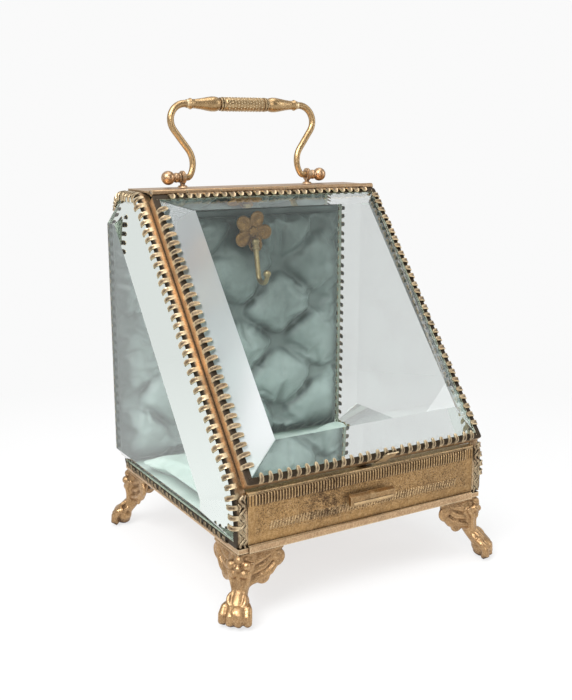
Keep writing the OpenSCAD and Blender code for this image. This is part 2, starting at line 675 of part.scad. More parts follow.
module leg() difference() {
    intersection() {
        translate([0, big / 2, 0]) rotate([90, 0, 0]) linear_extrude(big) polygon(leg_side);
        translate([-big / 2, 0, 0]) sideways() linear_extrude(big) union() {
            polygon(leg_half);
            mirror([1, 0]) polygon(leg_half);
        }
    }
    rotate([0, 0, -225]) for (m = [0, 1]) mirror([m, -m, 0])
        translate([-big / 2, edge_in - big, leg_edge_z]) cube(big);
}

// paw of body, knuckles and toes, pointing along +x from the corner's edge at the origin
toe_r = 1.75;
module paw() {
    for (w = [-2, 2]) translate([paw_out - 1.9, w, paw_r + 1]) sphere(paw_r, $fn = 48);
    for (k = [-1.5 : 1 : 1.5]) {
        translate([paw_out + 0.9 - abs(k) * 0.7, k * 2.1, 4.2]) sphere(2, $fn = 32);
        translate([paw_out + 2.3 - abs(k) * 0.9, k * 2.3, toe_r - 0.25]) sphere(toe_r, $fn = 32);
    }
    // cuff round the ankle
    for (w = [-1.7, 1.7]) translate([paw_out - 3.4, w, 6.7]) rotate([0, 130, 0]) translate([0, 0, -0.8]) {
        cylinder(h = 1.3, r = 2.6, $fn = 40);
        cylinder(h = 2.1, r = 2.2, $fn = 40);
    }
}

// foot for the corner at the origin, with its wings along +x and +y
module foot_shape() difference() {
    union() {
        scroll_wing();
        mirror([1, -1, 0]) scroll_wing();
        translate([0, 0, foot_z - 2]) linear_extrude(2)
            polygon([[edge_in, edge_in], [wing_l - 1, edge_in], [wing_l - 1, wing_t], [10, 10],
                     [wing_t, wing_l - 1], [edge_in, wing_l - 1]]);
        rotate([0, 0, 225]) {
            leg();
            paw();
        }
    }
    translate([-big / 2, -big / 2, -big]) cube(big);
    translate([-big / 2, -big / 2, foot_z]) cube(big);
    translate([hole_at, hole_at, foot_z - screw_l - 0.5]) cylinder(h = screw_l + 2, r = screw_r + gap, $fn = 32);
}

module front_left_foot() color("#a67c42") translate([-case_w / 2, front_y, 0]) foot_shape();
module front_right_foot() color("#a67c42") mirror([1, 0, 0]) front_left_foot();
module rear_left_foot() color("#a67c42") mirror([0, 1, 0]) front_left_foot();
module rear_right_foot() color("#a67c42") mirror([1, 0, 0]) rear_left_foot();

module foot_screws() color("#8f8a80") raised()
    for (x = [-screw_x, screw_x], y = [-screw_y, screw_y]) translate([x, y, 0]) {
        cylinder(h = head_h, r = head_r, $fn = 32);
        translate([0, 0, -base_t - screw_l]) cylinder(h = base_t + screw_l + 0.1, r = screw_r, $fn = 32);
    }

base_plate();
front_panel();
left_side_frame();
right_side_frame();
left_side_glass();
right_side_glass();
back_panel();
top_plate();
top_lining();
back_board();
back_pad();
rosette();
watch_hook();
floor_board();
floor_cushion();
front_lining();
latch_bracket();
latch_spring();
left_handle_post();
right_handle_post();
handle_post_nuts();
case_hinge_leaf();
hinge_pin();
front_left_foot();
front_right_foot();
rear_left_foot();
rear_right_foot();
foot_screws();
door_frame();
door_glass();
door_hinge_leaf();
door_lug();
bail_handle();
left_finial();
right_finial();
latch_button();
catch_arm();
button_clip();
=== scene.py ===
"""Slant-front glass watch casket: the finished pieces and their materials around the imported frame."""

import random
from math import atan, atan2, copysign, cos, exp, hypot, pi, radians, sin, tan

import bmesh
import bpy
from mathutils import Matrix, Vector, noise


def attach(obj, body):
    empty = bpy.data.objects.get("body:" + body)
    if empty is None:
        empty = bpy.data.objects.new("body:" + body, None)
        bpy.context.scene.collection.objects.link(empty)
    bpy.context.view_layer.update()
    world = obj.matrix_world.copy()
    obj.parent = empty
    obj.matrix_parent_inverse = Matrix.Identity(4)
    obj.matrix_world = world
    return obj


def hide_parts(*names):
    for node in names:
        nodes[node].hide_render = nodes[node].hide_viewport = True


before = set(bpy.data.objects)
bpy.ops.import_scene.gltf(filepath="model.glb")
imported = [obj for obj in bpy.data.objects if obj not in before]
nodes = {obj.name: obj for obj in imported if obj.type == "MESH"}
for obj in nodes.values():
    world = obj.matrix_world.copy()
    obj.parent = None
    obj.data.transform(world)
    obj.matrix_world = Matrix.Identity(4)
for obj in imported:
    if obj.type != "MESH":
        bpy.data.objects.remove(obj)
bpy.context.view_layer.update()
scene = bpy.context.scene

# ---- Studio ----
# A white table and backdrop in a pale room. The main lamp is soft and stands high on the left;
# weaker ones stand in front, on the right and overhead. The camera looks from the front left.
CAMERA_AT = (-0.16988, -0.27844, 0.14342)
CAMERA_TURN, CAMERA_RISE = radians(-30.82), radians(12.70)
LENS, SENSOR_HEIGHT = 33.01, 24
CASKET_MIDDLE = Vector((0, 0, 0.07))
TABLE_SIZE = 30
WHITE = (0.955, 0.955, 0.955, 1)


def stand(name, data):
    """Links new data into the scene as an object at the origin; returns the object."""
    made = bpy.data.objects.new(name, data)
    scene.collection.objects.link(made)
    return made


def as_mesh(name, shape):
    """Turns a bmesh into a mesh and frees it."""
    mesh = bpy.data.meshes.new(name)
    shape.to_mesh(mesh)
    shape.free()
    return mesh


def new_material(name):
    """A material with an empty node tree; returns both."""
    material = bpy.data.materials.new(name)
    material.use_nodes = True
    material.node_tree.nodes.clear()
    return material, material.node_tree


def feed(tree, socket, value):
    """Sets a socket to a number or colour, or links a socket or a node's first output to it."""
    if isinstance(value, bpy.types.Node):
        value = value.outputs[0]
    if isinstance(value, bpy.types.NodeSocket):
        tree.links.new(value, socket)
    else:
        socket.default_value = value


def add(tree, kind, *ordered, **named):
    """Adds a shader node: its settings by names in small letters, its inputs in order or by name."""
    made = tree.nodes.new("ShaderNode" + kind)
    for name in [name for name in named if name.islower()]:
        setattr(made, name, named.pop(name))
    for socket, value in zip(made.inputs, ordered):
        feed(tree, socket, value)
    for name, value in named.items():
        feed(tree, made.inputs[name.replace("_", " ")], value)
    return made


def calc(tree, operation, *values, clamp=False):
    """A Math node; returns its output."""
    return add(tree, "Math", *values, operation=operation, use_clamp=clamp).outputs[0]


def ramp(tree, value, low, high, to_low=0.0, to_high=1.0):
    """A clamped Map Range; returns its output."""
    return add(tree, "MapRange", value, low, high, to_low, to_high).outputs[0]


def object_place(tree):
    """The place of a point in its object's own coordinates."""
    return add(tree, "TexCoord").outputs["Object"]


def distance(tree, place, point):
    """How far a place is from a point, in metres."""
    return add(tree, "VectorMath", place, point, operation="DISTANCE").outputs["Value"]


def show(tree, shader, kind="OutputMaterial"):
    """Gives a shader to the tree's output."""
    feed(tree, add(tree, kind).inputs["Surface"], shader)


camera = stand("camera", bpy.data.cameras.new("camera"))
camera.data.sensor_fit = "VERTICAL"
camera.data.sensor_height = SENSOR_HEIGHT
camera.data.lens = LENS
camera.data.clip_start = 0.01
level = cos(CAMERA_RISE)
backwards = Vector((sin(CAMERA_TURN) * level, -cos(CAMERA_TURN) * level, sin(CAMERA_RISE)))
camera.location = CAMERA_AT
camera.rotation_euler = backwards.to_track_quat("Z", "Y").to_euler()
scene.camera = camera
scene.view_settings.view_transform = "Standard"

for name, place, width, height, power, colour in (
    ("key", (-0.56, -0.27, 0.68), 0.5, 0.5, 8.2, (0.97, 0.985, 1.0)),
    ("front", (-0.25, -0.85, 0.45), 0.35, 0.35, 2.2, (1.0, 0.97, 0.93)),
    ("fill", (0.75, -0.45, 0.42), 0.4, 0.6, 2.0, (0.96, 0.98, 1.0)),
    ("top", (0.1, -0.05, 1.05), 0.8, 0.5, 3.6, (1.0, 1.0, 1.0)),
):
    lamp = bpy.data.lights.new(name, "AREA")
    lamp.shape = "RECTANGLE"
    lamp.size, lamp.size_y = width, height
    lamp.energy = power
    lamp.color = colour
    lamp_stand = stand(name, lamp)
    lamp_stand.location = place
    lamp_stand.rotation_euler = (Vector(place) - CASKET_MIDDLE).to_track_quat("Z", "Y").to_euler()

# The camera, also through glass, sees a white backdrop. Metal mirrors and lamps' light meets a
# dimmer room, whose far side and ceiling are paler than the side behind the camera.
room = bpy.data.worlds.new("room")
scene.world = room
room.use_nodes = True
walls = room.node_tree
walls.nodes.clear()
compass = add(walls, "SeparateXYZ", add(walls, "TexCoord").outputs["Generated"]).outputs
brightness = calc(walls, "MULTIPLY_ADD", compass["Y"], 0.36, 0.42)
brightness = calc(walls, "MULTIPLY_ADD", compass["Z"], 0.25, brightness, clamp=True)
room_light = add(walls, "Background", Color=brightness, Strength=0.85)
backdrop = add(walls, "Background", Color=WHITE)
path = add(walls, "LightPath").outputs
past_glass = calc(walls, "GREATER_THAN", path["Transmission Depth"], 0.5)
seen = calc(walls, "MAXIMUM", path["Is Camera Ray"], past_glass)
show(walls, add(walls, "MixShader", seen, room_light, backdrop), "OutputWorld")

table_shape = bmesh.new()
bmesh.ops.create_grid(table_shape, x_segments=2, y_segments=2, size=TABLE_SIZE)
table = stand("table", as_mesh("table", table_shape))
table_white, tree = new_material("white table")
path = add(tree, "LightPath").outputs
seen = calc(tree, "MAXIMUM", path["Is Transmission Ray"], path["Is Glossy Ray"])
seen = calc(tree, "MAXIMUM", path["Is Camera Ray"], seen)
# the table shows its own shade only near the casket, so no horizon shows
plain = ramp(tree, distance(tree, object_place(tree), (0, 0, 0)), 0.05, 0.25, 0.72, 1.0)
matt = add(tree, "BsdfDiffuse", Color=(0.9, 0.9, 0.9, 1))
glow = add(tree, "Emission", Color=WHITE)
show(tree, add(tree, "MixShader", calc(tree, "MULTIPLY", seen, plain), matt, glow))
table.data.materials.append(table_white)

# ---- Base, back and top sheets ----
# Rolled brass sheet, cut, folded and gilt: the base plate with its rolled front lip, the back with
# a struck bead border, the top plate, and the hinge leaves soldered under it and to the door.
gilding = bpy.data.node_groups.new("worn gilding", "ShaderNodeTree")
for name, value in (
    ("Gold", (0.40, 0.245, 0.12, 1)),
    ("Rubbed", (0.88, 0.72, 0.46, 1)),
    ("Patina", (0.05, 0.022, 0.007, 1)),
    ("Hollow Size", 0.0016),
    ("Hollow Depth", 1.0),
    ("Rub", 0.85),
    ("Grain Size", 2200.0),
    ("Mottle", 0.35),
    ("Age", 0.0),
):
    kind = "NodeSocketColor" if isinstance(value, tuple) else "NodeSocketFloat"
    gilding.interface.new_socket(name=name, in_out="INPUT", socket_type=kind).default_value = value
for name in ("Color", "Roughness", "Metallic", "Height"):
    kind = "NodeSocketColor" if name == "Color" else "NodeSocketFloat"
    gilding.interface.new_socket(name=name, in_out="OUTPUT", socket_type=kind)


def mix_colours(tree, share, first, second):
    """A colour Mix node; returns its output."""
    made = add(tree, "Mix", share, data_type="RGBA")
    feed(tree, made.inputs[6], first)
    feed(tree, made.inputs[7], second)
    return made.outputs[2]


def mottling(tree, place, scale, detail=3.0, roughness=0.5):
    """A Noise Texture; returns its factor."""
    made = add(tree, "TexNoise", Vector=place, Scale=scale, Detail=detail, Roughness=roughness)
    return made.outputs["Fac"]


def nearby(tree, reach, samples, inside=False):
    """Ambient occlusion: low in hollows or, measured inside the metal, near its edges."""
    return add(tree, "AmbientOcclusion", Distance=reach, samples=samples, inside=inside).outputs["AO"]


told = gilding.nodes.new("NodeGroupInput").outputs
given = gilding.nodes.new("NodeGroupOutput").inputs
place = object_place(gilding)
broad = mottling(gilding, place, 170.0, 5.0, 0.62)
fine = mottling(gilding, place, told["Grain Size"], 4.0, 0.7)
hollow = ramp(gilding, nearby(gilding, told["Hollow Size"], 6), 0.3, 0.92, 1.0, 0.0)
dirt = calc(gilding, "MULTIPLY", hollow, told["Hollow Depth"])
stain = calc(gilding, "MULTIPLY", ramp(gilding, broad, 0.42, 0.72), told["Mottle"])
pits = ramp(gilding, fine, 0.5, 0.72, 0.0, 0.42)
# the given mark adds in: dirt on the front panel, and painted shade and painted light on the claw strips
soiled_and_shaded = calc(gilding, "ADD", calc(gilding, "ADD", dirt, stain), told["Age"])
soiled_and_shaded = calc(gilding, "ADD", soiled_and_shaded, pits, clamp=True)
rim = ramp(gilding, nearby(gilding, 0.00045, 6, inside=True), 0.55, 0.95, told["Rub"], 0.0)
flecks = ramp(gilding, fine, 0.3, 0.5, 0.45, 0.0)
rubbing = calc(gilding, "MULTIPLY", rim, ramp(gilding, fine, 0.25, 0.6, 0.35, 1.0))
rubbing = calc(gilding, "ADD", rubbing, flecks, clamp=True)
bright = mix_colours(gilding, rubbing, told["Gold"], told["Rubbed"])
feed(gilding, given["Color"], mix_colours(gilding, soiled_and_shaded, bright, told["Patina"]))
feed(gilding, given["Roughness"], ramp(gilding, soiled_and_shaded, 0.0, 1.0, 0.3, 0.62))
feed(gilding, given["Metallic"], ramp(gilding, soiled_and_shaded, 0.0, 1.0, 1.0, 0.45))
feed(gilding, given["Height"], calc(gilding, "ADD", fine, broad))


def gilt(name, relief=0.0001, bump=0.35, **values):
    """A gilt metal: the worn gilding with this piece's own values, and a bump from its grain."""
    material, tree = new_material(name)
    worn = add(tree, "Group", node_tree=gilding, name="worn gilding", **values)
    grained = add(tree, "Bump", Strength=bump, Distance=relief, Height=worn.outputs["Height"])
    show(tree, add(
        tree, "BsdfPrincipled", name="metal", Base_Color=worn.outputs["Color"],
        Roughness=worn.outputs["Roughness"], Metallic=worn.outputs["Metallic"], Normal=grained,
    ))
    return material


def dress(material, *names):
    """Gives carried-over nodes their material in all their slots."""
    for name in names:
        nodes[name].data.materials.clear()
        nodes[name].data.materials.append(material)


sheet_gilt = gilt("rolled gilt sheet", Gold=(0.52, 0.335, 0.19, 1), Mottle=0.25, Grain_Size=2000.0)
dress(sheet_gilt, "base_plate", "back_panel", "top_plate", "case_hinge_leaf", "door_hinge_leaf")

# ---- Feet ----
# Cast and gilt brass: a leafy bracket with rolled scroll ends under each corner, a flower boss, a
# fluted leg, a twisted cuff and a toed paw. One pattern is cast four times and screwed on.
MM = 0.001
CASE_W, CASE_D, FOOT_H = 94.0, 89.0, 23.3
FOOT_TOP = 21.7
FOOT_VOXEL = 0.25
cast_gilt = gilt(
    "cast gilt", relief=0.00016, bump=0.6, Gold=(0.47, 0.285, 0.135, 1), Rubbed=(0.93, 0.72, 0.48, 1),
    Hollow_Size=0.0036, Mottle=0.35,
)


def ball(shape, centre, radius, squash=(1, 1, 1), turned=Matrix.Identity(4)):
    """A ball, squashed along its own axes and turned, joined to the shape."""
    place = Matrix.Translation(centre) @ turned @ Matrix.Diagonal((*squash, 1))
    bmesh.ops.create_icosphere(shape, subdivisions=3, radius=radius, matrix=place)


def block(shape, size, middle):
    """A block joined to the shape; returns its corners."""
    corners = bmesh.ops.create_cube(shape, size=1.0)["verts"]
    bmesh.ops.scale(shape, vec=size, verts=corners)
    bmesh.ops.translate(shape, vec=middle, verts=corners)
    return corners


def face_out(shape):
    """Turns all the faces of a shape outwards."""
    bmesh.ops.recalc_face_normals(shape, faces=shape.faces)


def move(shape, matrix, verts=None):
    """Moves some vertices of a shape, or all of them, by a matrix."""
    bmesh.ops.transform(shape, matrix=matrix, verts=verts or shape.verts)


def mirror(shape, matrix):
    """Mirrors a shape by a matrix and turns its faces out again."""
    move(shape, matrix)
    bmesh.ops.reverse_faces(shape, faces=shape.faces)


def rod(shape, points, radii, sides=14):
    """A round bar drawn along points, with a radius at each."""
    points = [Vector(p) for p in points]
    neighbours = zip(points[:1] + points, points[1:] + points[-1:])
    ways = [(after - before).normalized() for before, after in neighbours]
    turns = []
    across = ways[0].orthogonal().normalized()
    for way in ways:
        across = (across - way * across.dot(way)).normalized()
        turns.append(Matrix((across, way.cross(across), way)).transposed())
    ring = bmesh.ops.create_circle(shape, cap_ends=True, segments=sides, radius=1.0)["verts"]
    end = list(ring[0].link_faces)
    for v in ring:
        v.co = points[0] + turns[0] @ Vector((v.co.x * radii[0], v.co.y * radii[0], 0))
    for at in range(1, len(points)):
        made = bmesh.ops.extrude_face_region(shape, geom=end)["geom"]
        if at > 1:
            bmesh.ops.delete(shape, geom=end, context="FACES_ONLY")
        end = [f for f in made if isinstance(f, bmesh.types.BMFace)]
        for v in end[0].verts:
            flat = turns[at - 1].transposed() @ (v.co - points[at - 1])
            x, y = flat.x * radii[at] / radii[at - 1], flat.y * radii[at] / radii[at - 1]
            v.co = points[at] + turns[at] @ Vector((x, y, 0))


def applied(holder):
    """The mesh that an object's modifiers give; the object and its own mesh are removed."""
    ready = bpy.data.meshes.new_from_object(holder.evaluated_get(bpy.context.evaluated_depsgraph_get()))
    old = holder.data
    bpy.data.objects.remove(holder)
    bpy.data.meshes.remove(old)
    return ready


def cast_solid(name, shape, voxel):
    """Fuses overlapping forms in millimetres into one skin, as a casting is, and softens it."""
    face_out(shape)
    holder = stand(name, as_mesh(name, shape))
    fuse = holder.modifiers.new("fuse", "REMESH")
    fuse.mode = "VOXEL"
    fuse.voxel_size = voxel
    soften = holder.modifiers.new("soften", "SMOOTH")
    soften.factor = 0.5
    soften.iterations = 2
    return applied(holder)


def fit(name, mesh, material, slot, body, *stands_for, angle=40):
    """Scales a mesh from millimetres, links it as a piece on its body and gives it its finish."""
    if isinstance(mesh, bmesh.types.BMesh):
        mesh = as_mesh(name, mesh)
    mesh.name = name
    mesh.transform(Matrix.Scale(MM, 4))
    mesh.materials.clear()
    mesh.materials.append(material)
    mesh.polygons.foreach_set("use_smooth", [True] * len(mesh.polygons))
    mesh.set_sharp_from_angle(angle=radians(angle))
    piece = stand(name, mesh)
    if stands_for:
        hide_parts(*stands_for)
    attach(piece, body)
    return piece


def join(shape, other):
    """Adds a second bmesh to the shape and frees it."""
    mesh = as_mesh("joined", other)
    shape.from_mesh(mesh)
    bpy.data.meshes.remove(mesh)


def scroll(shape, x, z, outer, inner, start, sweep, count, height, thick, heart):
    """A rod wound up in the plane of x and z round a squashed ball."""
    line = []
    for k in range(count):
        t = k / (count - 1)
        a = radians(start + sweep * t)
        r = outer + (inner - outer) * t
        line.append((x + r * cos(a), height, z + r * sin(a)))
    rod(shape, line, [thick] * count, 10)
    ball(shape, (x, 1.2, z), heart, (1, 0.7, 1))


def foot_wing(shape):
    """The leafy bracket along x from the corner at the origin, its leaves towards -y."""
    for v in block(shape, (14.6, 1.2, 8.6), (7.8, 2.1, FOOT_TOP - 4.4)):
        if v.co.z < FOOT_TOP - 6 and v.co.x > 10:
            v.co.z += 4.6
    # three leaves run out from the leg and roll over at their ends, with a small one above
    leaf = [(2.2, 1.6, 10.2), (5.0, 1.4, 12.0), (8.4, 1.3, 12.6), (11.6, 1.2, 14.0), (14.2, 1.3, 16.4)]
    rod(shape, leaf, [1.3, 1.5, 1.55, 1.5, 1.1])
    leaf = [(2.8, 1.6, 13.4), (6.0, 1.3, 15.0), (9.4, 1.2, 15.9), (12.0, 1.3, 17.6)]
    rod(shape, leaf, [1.1, 1.35, 1.3, 0.9])
    leaf = [(3.6, 1.5, 16.6), (6.6, 1.2, 17.9), (9.8, 1.2, 19.0), (12.6, 1.4, 20.0)]
    rod(shape, leaf, [0.9, 1.2, 1.15, 0.9])
    rod(shape, [(4.2, 1.7, 19.4), (7.2, 1.5, 20.2), (10.4, 1.6, 20.8)], [0.8, 0.8, 0.6])
    scroll(shape, 13.9, 18.1, 2.6, 0.6, -110, 430, 22, 0.9, 0.8, 1.9)
    scroll(shape, 9.2, 12.8, 2.1, 0.5, -150, 420, 20, 0.8, 0.7, 1.6)
    rod(shape, [(0.8, 1.0, 20.9), (6.0, 0.9, 21.0), (12.0, 0.9, 21.0), (16.2, 1.0, 21.0)], [0.7] * 4, 10)


def foot_form():
    """One foot for the corner at the origin, wings along +x and +y, leg out on the diagonal."""
    shape = bmesh.new()
    foot_wing(shape)
    twin = bmesh.new()
    foot_wing(twin)
    mirror(twin, Matrix(((0, 1, 0, 0), (1, 0, 0, 0), (0, 0, 1, 0), (0, 0, 0, 1))))
    join(shape, twin)
    block(shape, (11.5, 11.5, 1.7), (6.5, 6.5, FOOT_TOP - 0.85))
    out = Matrix.Rotation(radians(225), 4, "Z")

    def at(x, w, z):
        """A point x outside the corner along the diagonal, w to its side."""
        return out @ Vector((x, w, z))

    # leg: a fluted S from under the case to the ankle
    spine = [(-7.0, 19.5), (-5.2, 17.0), (-4.2, 14.0), (-3.4, 11.0), (-2.2, 8.8), (-0.5, 6.9), (0.7, 5.4)]
    rod(shape, [at(x, 0, z) for x, z in spine], [4.6, 4.3, 3.5, 2.7, 2.4, 2.55, 2.7], 20)
    flute = ((-2.5, 0.9, 1, 18.4), (-1.2, 0.7, 0.85, 15.6), (-1.4, 0.6, 0.68, 12.6), (-1.1, 0.4, 0.5, 9.9),
             (0.1, 0.4, 0.45, 7.8))
    for w in (-1, 0, 1):
        line = [at(x - abs(w) * inset, w * 3.4 * share, z) for x, inset, share, z in flute]
        rod(shape, line, [1.15, 1.05, 0.9, 0.8, 0.8], 12)
    # flower boss of five round petals where the leaves meet
    ball(shape, at(-0.3, 0, 17.3), 1.2)
    for k in range(5):
        a = radians(90 + 72 * k)
        ball(shape, at(-1.3, 2.5 * cos(a), 17.3 + 2.4 * sin(a)), 1.5, (0.95, 1, 1))
    # cuff: two strands laid round the ankle
    for lean, drop in ((24, 0.0), (-20, 0.5)):
        tilt = out @ Matrix.Translation((0.2, 0, 6.9 + drop)) @ Matrix.Rotation(radians(42), 4, "Y")
        tilt = tilt @ Matrix.Rotation(radians(lean), 4, "X")
        round_ankle = [radians(20 * k) for k in range(19)]
        loop = [tilt @ Vector((2.6 * cos(a), 2.9 * sin(a), 0)) for a in round_ankle]
        rod(shape, loop, [0.72] * 19, 10)
    # paw: a broad pad and four knuckled toes that curl down to the ground
    ball(shape, at(1.7, 0, 3.9), 3.4, (0.95, 1.25, 0.98))
    ball(shape, at(1.6, 0, 1.8), 2.2, (1.2, 1.5, 0.8))
    for k in (-1.5, -0.5, 0.5, 1.5):
        back = abs(k) * 0.85
        toe = [at(0.6 - back * 0.5, k * 1.9, 6.4)]
        for x, w, z in ((2.9, 2.35, 5.7), (4.4, 2.6, 3.9), (4.6, 2.6, 1.9), (3.4, 2.4, 0.8)):
            toe.append(at(x - back, k * w, z))
        rod(shape, toe, [1.0, 1.35, 1.4, 1.4, 0.8], 12)
    for v in shape.verts:
        v.co.z = min(max(v.co.z, 0.05), FOOT_TOP - 0.05)
    return cast_solid("foot", shape, FOOT_VOXEL)


foot_mesh = foot_form()
for name, across, along in (
    ("front_left", -1, -1), ("front_right", 1, -1), ("rear_left", -1, 1), ("rear_right", 1, 1),
):
    own = foot_mesh.copy()
    corner = Matrix.Translation((across * CASE_W / 2, along * CASE_D / 2, 0))
    own.transform(corner @ Matrix.Diagonal((-across, -along, 1, 1)))
    if across * along < 0:
        own.flip_normals()
    fit("paw_foot_" + name, own, cast_gilt, "gilt_cast", "case", name + "_foot")
bpy.data.meshes.remove(foot_mesh)

# ---- Claw strips ----
# Thin brass channel stamped with a row of claws on each edge, bent round each pane and gilt; the
# claws are hammered over the glass on the outside and lie flat against it inside.
STRIP_W, DOOR_T, STRIP_T, LIP_H, LIP_T = 3.6, 3.8, 0.5, 1.0, 0.4
CLAW_PITCH, CLAW_W, CLAW_L, CLAW_R, CLAW_T = 3.2, 1.7, 3.4, 1.9, 0.42
CLAW_ROOT_ANGLE, CLAW_TIP_ANGLE = 188, 72
CASE_H, KICK_H, SLOPE_RUN = 100.8, 17.5, 67.0
FRONT_Y, BACK_Y = -CASE_D / 2, CASE_D / 2
claw_gilt = gilt(
    "gilt claw strip", relief=0.00012, bump=0.6, Gold=(0.52, 0.335, 0.19, 1), Rubbed=(0.86, 0.70, 0.45, 1),
    Patina=(0.035, 0.022, 0.01, 1), Hollow_Size=0.0012, Rub=1.0, Mottle=0.3, Grain_Size=1900.0,
)
tree = claw_gilt.node_tree
worn, metal = tree.nodes["worn gilding"], tree.nodes["metal"]
dirt_and_light_mark = add(tree, "Attribute", attribute_name="dirt_and_painted_light").outputs["Fac"]
feed(tree, worn.inputs["Age"], dirt_and_light_mark)
# inside the channel, where the mark is below nought, the strip is painted a pale greenish colour and made
# dull and unmetallic: painted light for faces the lamps hardly reach through the glass
painted_pale = ramp(tree, dirt_and_light_mark, -1.0, 0.0, 1.0, 0.0)
feed(tree, metal.inputs["Base Color"], mix_colours(tree, painted_pale, worn.outputs["Color"], (0.60, 0.64, 0.56, 1)))
metal_share = ramp(tree, painted_pale, 0.0, 1.0, 1.0, 0.0)
feed(tree, metal.inputs["Metallic"], calc(tree, "MULTIPLY", worn.outputs["Metallic"], metal_share))


def rounded_loop(corners, radii, chords):
    """The points of a closed outline whose corners are rounded."""
    made = []
    for at, corner in enumerate(corners):
        corner = Vector(corner)
        back = (Vector(corners[at - 1]) - corner).normalized()
        on = (Vector(corners[(at + 1) % len(corners)]) - corner).normalized()
        half = back.angle(on) / 2
        middle = corner + (back + on).normalized() * radii[at] / sin(half)
        first = corner + back * radii[at] / tan(half) - middle
        last = corner + on * radii[at] / tan(half) - middle
        sweep = first.angle_signed(last)
        for k in range(chords[at] + 1):
            made.append(middle + Matrix.Rotation(-sweep * k / chords[at], 2) @ first)
    return made


def channel(shape, loop, depth, place):
    """The strip itself: a small channel section carried round the closed loop; place puts it."""
    # distance in, height, and how dark the gilding is marked there; below nought it is painted pale, as
    # painted light inside the channel
    section = [
        (0.30, 0.0, 1), (0.10, -0.08, 1), (0.0, -0.25, 0.8), (0.0, -0.6, 0.25), (0.0, -1.0, 0),
        (0.0, 0.22 - depth, 0), (0.06, 0.06 - depth, 0), (0.22, -depth, 0), (LIP_H, -depth, 0),
        (LIP_H, LIP_T - depth, -1), (STRIP_T, LIP_T - depth, -1), (STRIP_T, -LIP_T, -1),
        (LIP_H + 0.2, -LIP_T, -1), (2.0, 0.1, -0.5), (1.9, 0.28, 1), (LIP_H, 0.0, 1),
    ]
    dirt_and_painted_light = shape.verts.layers.float.get("dirt_and_painted_light") or shape.verts.layers.float.new("dirt_and_painted_light")
    count = len(loop)
    rings = []
    for at, point in enumerate(loop):
        back = (point - loop[at - 1]).normalized()
        on = (loop[(at + 1) % count] - point).normalized()
        way = (back + on).normalized()
        inwards = Vector((-way.y, way.x))
        stretch = 1 / max(way.dot(on), 0.5)
        ring = []
        for d, h, dirty in section:
            spot = point + inwards * d * stretch
            ring.append(shape.verts.new(place @ Vector((spot.x, spot.y, h))))
            ring[-1][dirt_and_painted_light] = dirty
        rings.append([shape.edges.new((ring[k], ring[(k + 1) % len(ring)])) for k in range(len(ring))])
    for at in range(count):
        bmesh.ops.bridge_loops(shape, edges=rings[at] + rings[(at + 1) % count])


def claw_pattern(width, reach, arch, cup, darkening=0.0):
    """One claw: x across, y inwards over the pane, z outwards; rooted in the lip at the origin."""
    shape = bmesh.new()
    dirt_and_painted_light = shape.verts.layers.float.new("dirt_and_painted_light")
    bmesh.ops.create_grid(shape, x_segments=4, y_segments=7, size=0.5)
    for v in shape.verts:
        across, along = v.co.x * 2, v.co.y + 0.5
        bend = max(0.0, (along - 0.2) / 0.8)
        a = radians(CLAW_ROOT_ANGLE + (CLAW_TIP_ANGLE - CLAW_ROOT_ANGLE) * bend)
        if a > pi / 2:
            y = arch + arch * cos(a)
        else:
            y = arch + (reach - arch) * cos(a) / cos(radians(CLAW_TIP_ANGLE))
        z = arch * sin(a)
        if along < 0.2:
            y, z = -0.14, -1.15 + 3.2 * along
        tip = max(0.0, along - 0.8) / 0.2
        dish = 1 - across * across
        half = width / 2 * (1 - 0.05 * along) * (1 - 0.22 * tip * tip * abs(across))
        y -= tip * 0.42 * across * across
        z -= cup * dish * min(1.0, bend * 1.6)
        v.co = Vector((across * half, y, z))
        # the mark grows towards the root and in the dished middle short of the tip, on top of the given
        # darkening
        v[dirt_and_painted_light] = darkening + max(0.0, 0.3 - along) + 0.75 * dish * (1 - tip) * min(1.0, bend * 3)
    face_out(shape)
    top = max(shape.faces, key=lambda f: f.calc_center_median().z)
    if top.normal.z < 0:
        bmesh.ops.reverse_faces(shape, faces=shape.faces)
    bmesh.ops.solidify(shape, geom=shape.faces[:], thickness=CLAW_T)
    face_out(shape)
    return as_mesh("claw", shape)


def flat_claw_pattern():
    """The flat claw on the inside of the pane, with a rounded tip."""
    shape = bmesh.new()
    bmesh.ops.create_grid(shape, x_segments=2, y_segments=3, size=0.5)
    for v in shape.verts:
        across, along = v.co.x * 2, v.co.y + 0.5
        tip = max(0.0, along - 0.6) / 0.4
        y = LIP_H - 0.1 + along * (CLAW_L - LIP_H - 0.6) - tip * 0.2 * across ** 2
        v.co = Vector((across * CLAW_W / 2 * (1 - 0.3 * tip), y, 0.4))
    bmesh.ops.solidify(shape, geom=shape.faces[:], thickness=0.36)
    face_out(shape)
    return as_mesh("flat claw", shape)


